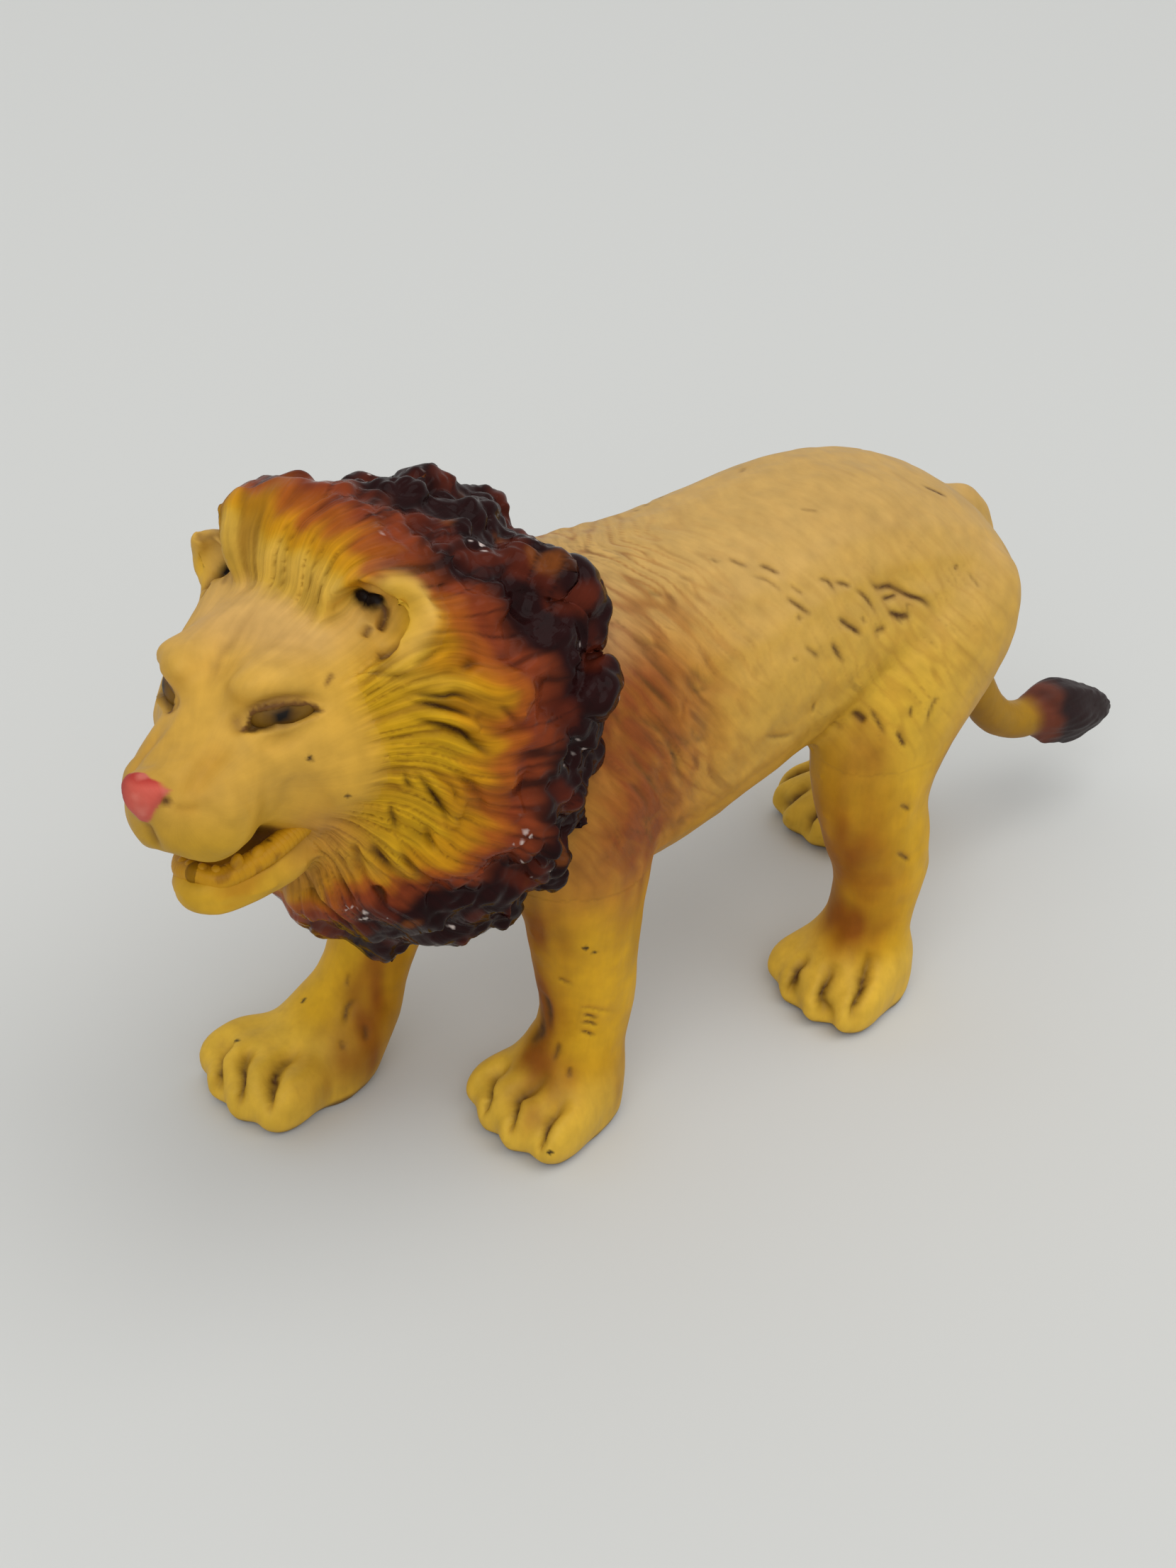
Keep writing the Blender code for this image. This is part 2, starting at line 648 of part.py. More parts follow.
def tail_skin(grow=0.0):
    path = [(Vector((0, along * BODY_LENGTH, up * BACK_HEIGHT)), girth * TAIL_GIRTH / 2)
            for along, up, girth in smoothed(TAIL_shares)]
    rings = []
    for k, (point, half) in enumerate(path):
        before = path[max(k - 1, 0)][0]
        after = path[min(k + 1, len(path) - 1)][0]
        flow = (after - before).normalized()
        rise = Vector((1, 0, 0)).cross(flow)
        rings.append(oval(point, Vector((1, 0, 0)), rise, half + grow, half + grow, half + grow, 12))
    start = path[0][0] - (path[1][0] - path[0][0]).normalized() * (TAIL_GIRTH / 4 + grow)
    return solid_from_rings(rings, (start, None))


def tuft_skin():
    base = Vector((0, TAIL_shares[-1][0] * BODY_LENGTH, TAIL_shares[-1][1] * BACK_HEIGHT))
    flow = Vector((0, math.cos(TUFT_DROP), -math.sin(TUFT_DROP)))
    rise = Vector((1, 0, 0)).cross(flow)
    rings = []
    for along, girth in smoothed(TUFT_shares):
        half = girth * TUFT_GIRTH / 2
        point = base + flow * ((along - TUFT_OVERLAP_share) * TUFT_LENGTH)
        ring = oval(point, Vector((1, 0, 0)), rise, half * 0.8, half, half, 12)
        rings.append([point + (corner - point) * (1 + 0.10 * (-1) ** k) for k, corner in enumerate(ring)])
    root = base - flow * ((TUFT_OVERLAP_share + TUFT_ROOT_share) * TUFT_LENGTH)
    tip = base + flow * ((1 - TUFT_OVERLAP_share + TUFT_TIP_share) * TUFT_LENGTH)
    return solid_from_rings(rings, (root, tip))


def make_tail(material):
    tail = add_object("tail", [tail_skin()], material)
    boolean(tail, add_object("tail_tuft", [tuft_skin()]), "UNION")
    seat = add_object("tail_seat", [tail_skin(SEAT_GAP)])
    return tail, as_guide(seat)


def floor_block():
    """What the soles are cut flat against: everything under the floor."""
    corners = [Vector((x, y, 0)) * BODY_LENGTH for x, y in ((-1, -1), (1, -1), (1, 1), (-1, 1))]
    rings = [[corner + Vector((0, 0, level)) for corner in corners] for level in (-OVERRUN, 0.0)]
    return as_guide(add_object("floor", [solid_from_rings(rings)]))


def stand_on_origin():
    """Every piece under one empty, so that the origin is on the floor below the middle of the figure."""
    bpy.context.view_layer.update()
    graph = bpy.context.evaluated_depsgraph_get()
    pieces = [item for item in bpy.data.objects if item.type == "MESH"]
    corners = []
    for piece in pieces:
        if not piece.hide_render:
            shape = piece.evaluated_get(graph)
            corners.extend(shape.matrix_world @ vertex.co for vertex in shape.data.vertices)
    middle = [(min(c[axis] for c in corners) + max(c[axis] for c in corners)) / 2 for axis in (0, 1)]
    figure = bpy.data.objects.new("lion_figure", None)
    bpy.context.scene.collection.objects.link(figure)
    for piece in pieces:
        piece.parent = figure
    figure.location = (-middle[0], -middle[1], 0.0)


def build():
    clear_scene()
    tan = moulded_plastic("tan plastic", (0.62, 0.38, 0.12), 0.5)
    face_tan = moulded_plastic("pale tan plastic", (0.66, 0.42, 0.16), 0.5)
    maroon = moulded_plastic("maroon plastic", (0.12, 0.025, 0.015), 0.35)
    head_middle = Vector((0, HEAD_PLACE_shares[0] * BODY_LENGTH, HEAD_PLACE_shares[1] * BACK_HEIGHT))
    behind_head = Vector((0, MANE_PLACE_shares[0] * HEAD_LENGTH, MANE_PLACE_shares[1] * HEAD_HEIGHT))
    head_place = local_frame(head_middle, HEAD_YAW, HEAD_PITCH, HEAD_ROLL)
    mane_place = local_frame(head_middle + behind_head, MANE_YAW, MANE_PITCH, MANE_ROLL)
    floor = floor_block()

    legs = []
    leg_seats = []
    for name, stations, stance, girth, side in (
        ("left_foreleg", LEFT_FORELEG_shares, FORE_STANCE, FORELEG_GIRTH, 1),
        ("right_foreleg", RIGHT_FORELEG_shares, FORE_STANCE, FORELEG_GIRTH, -1),
        ("left_hindleg", LEFT_HINDLEG_shares, HIND_STANCE, HINDLEG_GIRTH, 1),
        ("right_hindleg", RIGHT_HINDLEG_shares, HIND_STANCE, HINDLEG_GIRTH, -1),
    ):
        leg, seat = make_leg(name, stations, stance, girth, side, tan, floor)
        legs.append(leg)
        leg_seats.append(seat)
    tail, tail_seat = make_tail(tan)
    for leg in legs[2:]:
        boolean(leg, tail_seat, "DIFFERENCE")
    torso = add_object("torso", [torso_skin()], tan)
    for seat in leg_seats + [tail_seat]:
        boolean(torso, seat, "DIFFERENCE")
    torso_seat = as_guide(add_object("torso_seat", [torso_skin(SEAT_GAP)]))

    jaw, jaw_seat = make_jaw(head_place, face_tan)
    head, head_seats = make_head(head_place, face_tan)
    boolean(head, jaw_seat, "DIFFERENCE")
    boolean(head, torso_seat, "DIFFERENCE")
    make_mane(mane_place, maroon, [torso_seat, leg_seats[0], leg_seats[1], *head_seats, jaw_seat])
    stand_on_origin()


build()
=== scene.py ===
import math

import bmesh
import bpy
import numpy as np
from mathutils import Matrix, Vector
from mathutils.bvhtree import BVHTree


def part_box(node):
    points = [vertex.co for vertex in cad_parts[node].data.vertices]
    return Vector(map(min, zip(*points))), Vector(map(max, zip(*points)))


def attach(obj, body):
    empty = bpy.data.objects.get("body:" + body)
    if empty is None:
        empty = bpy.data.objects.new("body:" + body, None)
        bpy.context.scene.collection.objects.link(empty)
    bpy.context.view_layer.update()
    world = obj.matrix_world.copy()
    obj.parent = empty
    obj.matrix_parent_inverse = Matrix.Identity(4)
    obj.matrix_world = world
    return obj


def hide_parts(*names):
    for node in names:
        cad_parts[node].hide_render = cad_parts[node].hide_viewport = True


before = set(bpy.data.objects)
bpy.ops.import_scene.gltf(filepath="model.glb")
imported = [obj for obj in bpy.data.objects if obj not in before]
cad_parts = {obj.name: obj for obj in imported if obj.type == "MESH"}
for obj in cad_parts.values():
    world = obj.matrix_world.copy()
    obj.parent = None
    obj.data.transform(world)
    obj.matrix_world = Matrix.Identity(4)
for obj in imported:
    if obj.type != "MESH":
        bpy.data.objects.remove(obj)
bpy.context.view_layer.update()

MM = 0.001

# Where the middle of the paws lies in the row frame, from the left foreleg's lowest corner
LEFT_FORELEG_LOW = np.array([2.892, -31.784, 0.0])
FIGURE_SHIFT = np.array(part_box("left_foreleg")[0]) / MM - LEFT_FORELEG_LOW

# The camera at the photograph's angle, fitted to the floor and the soles
CAMERA_PLACE = (183.7, -179.2, 211.4)
CAMERA_LOOK = (-0.6046, 0.5562, -0.5702)
CAMERA_UP = (-0.4806, 0.3162, 0.8179)
CAMERA_LENS = 58.59
CAMERA_SENSOR = 36.0

# The head's and the mane's own frames: place, then turn to the left, nose up, and tilt
HEAD_PLACE = (0.0, -50.82, 65.88)
HEAD_TURN = (18.0, 13.0, 9.0)
MANE_PLACE = (0.0, -39.16, 58.03)
MANE_TURN = (7.0, 18.0, 4.0)


def turn_matrix(turn):
    """The axes of a frame that is turned, pitched and rolled by degrees."""
    yaw, pitch, roll = (math.radians(angle) for angle in turn)
    return np.array(
        Matrix.Rotation(yaw, 3, "Z") @ Matrix.Rotation(-pitch, 3, "X") @ Matrix.Rotation(-roll, 3, "Y")
    )


HEAD_AXES = turn_matrix(HEAD_TURN)
MANE_AXES = turn_matrix(MANE_TURN)

# What lays the left or the right side onto the left one
LEFT = np.array([1.0, 1.0, 1.0])
RIGHT = np.array([-1.0, 1.0, 1.0])


def to_local(points, place, axes):
    """Points of the figure in terms of the head or the mane."""
    return (points - np.array(place)) @ axes


def to_world(points, place, axes):
    """Points of the head or the mane in terms of the figure."""
    return points @ axes.T + np.array(place)


# Skins


def placed(name, data):
    """A new object in the scene."""
    item = bpy.data.objects.new(name, data)
    bpy.context.scene.collection.objects.link(item)
    return item


def mesh_points(mesh):
    """The points of a mesh in millimetres."""
    points = np.empty(len(mesh.vertices) * 3)
    mesh.vertices.foreach_get("co", points)
    return points.reshape(-1, 3) / MM - FIGURE_SHIFT


def new_mesh(name, points, corners, starts):
    """A mesh from its points, the corners of all faces in one row, and where each face starts there."""
    mesh = bpy.data.meshes.new(name)
    mesh.vertices.add(len(points))
    mesh.vertices.foreach_set("co", ((points + FIGURE_SHIFT) * MM).ravel())
    mesh.loops.add(len(corners))
    mesh.loops.foreach_set("vertex_index", corners.astype(np.int32))
    mesh.polygons.add(len(starts))
    mesh.polygons.foreach_set("loop_start", starts.astype(np.int32))
    mesh.update(calc_edges=True)
    return mesh


def stored(mesh, key, values):
    """Keeps a number or a colour for each point of a mesh."""
    if values.shape[1] == 1:
        mesh.attributes.new(key, "FLOAT", "POINT").data.foreach_set("value", values.ravel())
    else:
        values = np.hstack([values, np.ones((len(values), 1))])
        mesh.attributes.new(key, "FLOAT_COLOR", "POINT").data.foreach_set("color", values.ravel())


def worked(mesh, kind, **values):
    """The points and the four-cornered faces of a mesh after one modifier."""
    item = placed(mesh.name, mesh)
    modifier = item.modifiers.new("work", kind)
    for key, value in values.items():
        setattr(modifier, key, value)
    bpy.context.view_layer.update()
    result = item.evaluated_get(bpy.context.evaluated_depsgraph_get()).to_mesh()
    points = mesh_points(result)
    corners = np.empty(len(result.loops), dtype=np.int64)
    result.loops.foreach_get("vertex_index", corners)
    bpy.data.objects.remove(item, do_unlink=True)
    bpy.data.meshes.remove(mesh)
    return points, corners.reshape(-1, 4)


def joined_nodes(names, grow):
    """The CAD nodes as one mesh, each grown so that neighbours overlap."""
    whole = bmesh.new()
    for name in names:
        whole.from_mesh(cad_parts[name].data)
    bmesh.ops.remove_doubles(whole, verts=whole.verts, dist=0.01 * MM)
    whole.normal_update()
    for vertex in whole.verts:
        vertex.co += vertex.normal * (grow * MM)
    mesh = bpy.data.meshes.new("joined")
    whole.to_mesh(mesh)
    whole.free()
    return mesh


def side_ends(faces):
    """The two ends of every side of four-cornered faces."""
    return np.concatenate([faces[:, [k, (k + 1) % 4]] for k in range(4)])


def keyed(ends, count):
    """One number for each pair of ends, out of count points."""
    return ends[:, 0] * count + ends[:, 1]


class Skin:
    """A sculpted surface: points, faces, normals, and sums over neighbouring points."""

    def __init__(self, points, faces):
        self.points = points
        self.faces = faces
        keys = np.unique(keyed(np.sort(side_ends(faces), axis=1), len(points)))
        self.edges = np.stack([keys // len(points), keys % len(points)], axis=1)
        self.degree = np.bincount(self.edges.ravel(), minlength=len(points)).astype(float)
        self.normals = self.fresh_normals()

    def fresh_normals(self):
        a, b, c, d = (self.points[self.faces[:, k]] for k in range(4))
        face_normals = np.cross(c - a, d - b)
        total = np.zeros_like(self.points)
        for k in range(4):
            for axis in range(3):
                total[:, axis] += np.bincount(
                    self.faces[:, k], weights=face_normals[:, axis], minlength=len(self.points)
                )
        return total / np.maximum(np.linalg.norm(total, axis=1, keepdims=True), 1e-12)

    def averaged(self, values):
        """The mean of each point's neighbours."""
        first, second = self.edges[:, 0], self.edges[:, 1]
        flat = values.reshape(len(values), -1)
        total = np.empty_like(flat)
        for axis in range(flat.shape[1]):
            total[:, axis] = np.bincount(first, weights=flat[second, axis], minlength=len(flat))
            total[:, axis] += np.bincount(second, weights=flat[first, axis], minlength=len(flat))
        return (total / self.degree[:, None]).reshape(values.shape)

    def relax(self, times, amount=0.5, weight=1.0):
        """Smooths away facets and creases while keeping the bulk."""
        for _ in range(times):
            self.points += amount * weight * (self.averaged(self.points) - self.points)
            self.points -= (amount + 0.02) * weight * (self.averaged(self.points) - self.points)
        self.normals = self.fresh_normals()

    def blurred(self, values, times):
        for _ in range(times):
            values = 0.5 * values + 0.5 * self.averaged(values)
        return values

    def push(self, amount):
        """Moves the points along their normals."""
        self.points += self.normals * amount[:, None]
        self.normals = self.fresh_normals()


def fused_skin(names, voxel, grow, relaxed, shrink):
    """The nodes as one smooth skin, twice as fine as its voxels."""
    points, faces = worked(joined_nodes(names, grow), "REMESH", mode="VOXEL", voxel_size=voxel * MM)
    coarse = Skin(points, faces)
    coarse.relax(relaxed)
    coarse.push(np.full(len(points), -shrink))
    mesh = new_mesh("coarse", coarse.points, faces.ravel(), np.arange(0, faces.size, 4))
    return Skin(*worked(mesh, "SUBSURF", levels=1, render_levels=1))


BODY_NODES = ("torso", "left_foreleg", "right_foreleg", "left_hindleg", "right_hindleg", "tail")
HEAD_NODES = ("head", "mane", "lower_jaw")
body = fused_skin(BODY_NODES, voxel=0.8, grow=0.3, relaxed=14, shrink=0.25)
crown = fused_skin(HEAD_NODES, voxel=0.69, grow=0.3, relaxed=5, shrink=0.25)


def noise(points, size, seed=0):
    """Smooth lumps of about the given size, from about -1 to 1."""
    scaled = points / size + 31.7 * seed
    cell = np.floor(scaled).astype(np.int64)
    part = scaled - cell
    fade = part**3 * (part * (part * 6.0 - 15.0) + 10.0)
    total = np.zeros(len(points))
    for corner in np.ndindex(2, 2, 2):
        offset = np.array(corner)
        key = (cell + offset) @ np.array([73856093, 19349663, 83492791])
        key = ((key ^ (key >> 13)) * 1274126177) & 0x3FFFFFFF
        key = ((key ^ (key >> 11)) * 668265263) & 0x3FFFFFFF
        slope = np.stack([key & 1023, (key >> 10) & 1023, (key >> 20) & 1023], axis=1) / 511.5 - 1.0
        weight = np.where(offset == 1, fade, 1.0 - fade).prod(axis=1)
        total += weight * ((part - offset) * slope).sum(axis=1)
    return 1.5 * total


def eased(values, low, high):
    """0 below low, 1 above high, and a soft step between them."""
    t = np.clip((values - low) / (high - low), 0.0, 1.0)
    return t * t * (3.0 - 2.0 * t)


def rounded(line, steps=6):
    """A smooth curve through a few points."""
    line = np.array(line, dtype=float)
    if len(line) < 3:
        return line
    ends = np.vstack([2 * line[0] - line[1], line, 2 * line[-1] - line[-2]])
    out = []
    for k in range(1, len(ends) - 2):
        a, b, c, d = ends[k - 1 : k + 3]
        for t in np.arange(steps) / steps:
            point = 2 * b + (c - a) * t + (2 * a - 5 * b + 4 * c - d) * t**2
            out.append(0.5 * (point + (3 * b - a - 3 * c + d) * t**3))
    return np.array(out + [line[-1]])


def near_line(points, line, reach):
    """The points within reach of a curve, their distances from it and how far along it they lie."""
    curve = rounded(line)
    chosen = np.flatnonzero(
        ((points > curve.min(axis=0) - reach) & (points < curve.max(axis=0) + reach)).all(axis=1)
    )
    near = points[chosen]
    best = np.full(len(chosen), np.inf)
    along = np.zeros(len(chosen))
    for k in range(len(curve) - 1):
        start, span = curve[k], curve[k + 1] - curve[k]
        t = np.clip((near - start) @ span / max(span @ span, 1e-9), 0.0, 1.0)
        gap = np.linalg.norm(near - start - t[:, None] * span, axis=1)
        closer = gap < best
        best[closer] = gap[closer]
        along[closer] = (k + t[closer]) / (len(curve) - 1)
    return chosen, best, along


def drawn(field, points, line, width, amount, taper=0.35):
    """Adds a soft line to a field of values; taper is the share of its length that fades out."""
    chosen, gap, along = near_line(points, line, 3.0 * width)
    ends = eased(np.minimum(along, 1.0 - along), -0.02, taper) if taper else 1.0
    field[chosen] += amount * ends * np.exp(-((gap / width) ** 2))


def gap_to(points, place, reach=1.0):
    """Distances from a place, as shares of the reach along each axis."""
    return np.linalg.norm((points - np.array(place)) / reach, axis=1)


def snapped(points, line):
    """The line laid onto the nearest points of a surface."""
    return np.array([points[gap_to(points, place).argmin()] for place in line])


def traced(points, line, *strokes):
    """Lays a line onto a surface and draws soft strokes along it: field, width, amount and perhaps taper."""
    line = snapped(points, line)
    for field, *stroke in strokes:
        drawn(field, points, line, *stroke)


def spot(field, points, place, size, amount):
    """Adds a soft spot to a field of values."""
    field += amount * np.exp(-(gap_to(points, place, size) ** 2))


def hill(values, middle, reach):
    """1 at the middle, and softly 0 far from it."""
    return np.exp(-(((values - middle) / reach) ** 2))


def near_place(points, place, reach):
    """1 at the place, and softly 0 far from it."""
    return np.exp(-(((points - np.array(place)) / np.array(reach)) ** 2).sum(axis=1))


def pulled(points, place, reach):
    """1 at the place, and 0 from the reach on."""
    return np.clip(1.0 - ((points - np.array(place)) ** 2).sum(axis=1) / reach**2, 0.0, 1.0) ** 2


def mixed(color, *washes):
    """Colours under washes of other colours, each with its share, point by point."""
    for other, share in washes:
        color = color + np.clip(share, 0.0, 1.0)[:, None] * (np.array(other) - color)
    return color


def folded(points):
    """The points with the right side laid onto the left."""
    return np.column_stack([np.abs(points[:, 0]), points[:, 1:]])


# Division into the mouldings


def components(count, pairs):
    """The lowest member of the group that each thing belongs to."""
    group = np.arange(count)
    while True:
        before = group.copy()
        low = np.minimum(group[pairs[:, 0]], group[pairs[:, 1]])
        np.minimum.at(group, group[pairs[:, 0]], low)
        np.minimum.at(group, group[pairs[:, 1]], low)
        group = group[group]
        group = group[group]
        if (group == before).all():
            return group


def neighbour_faces(skin):
    """Pairs of faces with a common edge."""
    keys = keyed(np.sort(side_ends(skin.faces), axis=1), len(skin.points))
    owner = np.tile(np.arange(len(skin.faces)), 4)
    order = np.argsort(keys, kind="stable")
    same = keys[order][:-1] == keys[order][1:]
    return np.stack([owner[order][:-1][same], owner[order][1:][same]], axis=1)


def divided(skin, names):
    """The number of the CAD node that each face of the skin lies on, in one patch for each node."""
    gaps = np.full((len(skin.points), len(names)), 8.0)
    for k, name in enumerate(names):
        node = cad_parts[name].data
        points = mesh_points(node)
        tree = BVHTree.FromPolygons(points.tolist(), [tuple(face.vertices) for face in node.polygons])
        near = ((skin.points > points.min(axis=0) - 3) & (skin.points < points.max(axis=0) + 3)).all(axis=1)
        for i in np.flatnonzero(near):
            found = tree.find_nearest(skin.points[i], 8.0)[3]
            if found is not None:
                gaps[i, k] = found
    gaps = skin.blurred(gaps, 14)
    label = gaps[skin.faces].sum(axis=1).argmin(axis=1)
    pairs = neighbour_faces(skin)
    for _ in range(6):
        votes = np.zeros((len(label), len(names)))
        np.add.at(votes, (pairs[:, 0], label[pairs[:, 1]]), 1)
        np.add.at(votes, (pairs[:, 1], label[pairs[:, 0]]), 1)
        lonely = votes[np.arange(len(label)), label] < 2
        label[lonely] = votes[lonely].argmax(axis=1)
    group = components(len(label), pairs[label[pairs[:, 0]] == label[pairs[:, 1]]])
    kept = np.zeros(len(label), dtype=bool)
    for k in range(len(names)):
        mine = group[label == k]
        kept |= group == np.bincount(mine).argmax()
    while not kept.all():
        for a, b in (pairs.T, pairs.T[::-1]):
            edge = kept[a] & ~kept[b]
            label[b[edge]] = label[a[edge]]
            kept[b[edge]] = True
    return label


def moulding(name, skin, chosen, sink):
    """One closed piece: the chosen faces, closed inside by fans to points below the cut edges."""
    faces = skin.faces[chosen]
    count = len(skin.points)
    ends = side_ends(faces)
    cut = ends[~np.isin(keyed(ends, count), keyed(ends[:, ::-1], count))]
    used = np.unique(faces)
    number = np.full(count, -1)
    number[used] = np.arange(len(used))
    points = skin.points[used]
    caps = np.zeros((0, 3), dtype=np.int64)
    if len(cut):
        group = components(len(used), number[cut])
        inner = []
        for first in np.unique(group[number[cut[:, 0]]]):
            loop = cut[group[number[cut[:, 0]]] == first]
            rim = skin.points[loop[:, 0]]
            middle = rim.mean(axis=0) - sink * skin.normals[loop[:, 0]].mean(axis=0)
            place = np.full((len(loop), 1), len(used) + len(inner))
            inner.append(middle)
            caps = np.vstack([caps, np.hstack([number[loop[:, ::-1]], place])])
        points = np.vstack([points, inner])
    corners = np.concatenate([number[faces].ravel(), caps.ravel()])
    starts = np.concatenate([np.arange(len(faces)) * 4, len(faces) * 4 + np.arange(len(caps)) * 3])
    mesh = new_mesh(name, points, corners, starts)
    edge_ends = np.empty(len(mesh.edges) * 2, dtype=np.int32)
    mesh.edges.foreach_get("vertices", edge_ends)
    edge_ends = np.sort(edge_ends.reshape(-1, 2), axis=1).astype(np.int64)
    rim_ends = np.sort(number[cut].reshape(-1, 2), axis=1)
    sharp = np.isin(keyed(edge_ends, len(points)), keyed(rim_ends, len(points)))
    mesh.attributes.new("sharp_edge", "BOOLEAN", "EDGE").data.foreach_set("value", sharp)
    for key, values in skin.paint.items():
        stored(mesh, key, np.vstack([values[used], np.tile(values[used[:1]], (len(points) - len(used), 1))]))
    return placed(name, mesh)


body.label = divided(body, BODY_NODES)
crown.label = divided(crown, HEAD_NODES)


body.label = divided(body, BODY_NODES)
crown.label = divided(crown, HEAD_NODES)

# Body: toes, creases and brushed shading

# Grooves between the toes, from the top of the paw to the floor
FRONT_TOE_GROOVES = [
    [(-14.8, -50.3, 7.6), (-15.3, -51.9, 6.7), (-14.6, -53.3, 6.2), (-13.0, -54.6, 5.2),
        (-12.4, -55.0, 3.8), (-12.3, -55.0, 0.6)],
    [(-11.8, -48.6, 8.0), (-11.7, -50.8, 7.7), (-10.8, -52.2, 7.1), (-9.1, -53.7, 6.3), (-8.0, -54.5, 4.7),
        (-7.8, -54.6, 0.6)],
    [(-8.0, -44.6, 8.4), (-8.3, -46.8, 7.9), (-7.7, -49.0, 7.7), (-6.6, -50.7, 7.0), (-5.1, -52.0, 6.2),
        (-4.2, -52.5, 5.4), (-3.8, -52.6, 0.6)],
    [(8.0, -26.0, 8.3), (7.2, -27.7, 6.9), (7.8, -29.4, 6.2), (9.2, -30.8, 5.7), (9.5, -31.5, 4.6),
        (9.6, -31.5, 0.6)],
    [(13.7, -24.6, 9.9), (12.9, -26.9, 8.3), (12.3, -28.5, 7.3), (13.4, -29.9, 6.6), (14.6, -31.3, 4.8),
        (14.8, -31.4, 0.6)],
    [(16.7, -23.9, 8.6), (17.2, -26.4, 7.6), (17.7, -28.2, 6.6), (18.4, -29.5, 5.2), (18.6, -30.0, 4.2),
        (18.8, -30.0, 0.6)],
]
HIND_TOE_GROOVES = [
    [(12.9, 19.3, 8.1), (12.6, 18.0, 7.1), (12.8, 16.9, 6.4), (13.5, 15.9, 5.0), (13.6, 15.5, 3.3),
        (13.7, 15.5, 0.6)],
    [(16.8, 19.9, 8.6), (17.3, 18.6, 7.5), (17.8, 17.2, 6.5), (18.4, 16.4, 5.3), (19.3, 16.5, 3.4),
        (19.4, 16.5, 0.6)],
    [(19.6, 23.9, 10.1), (20.3, 22.8, 8.8), (21.0, 21.1, 7.7), (22.1, 19.4, 6.5), (22.9, 18.5, 4.8),
        (23.1, 18.4, 0.6)],
]
HIND_PAW_PLACES = ((14.98, 25.96), (-13.16, 52.8))

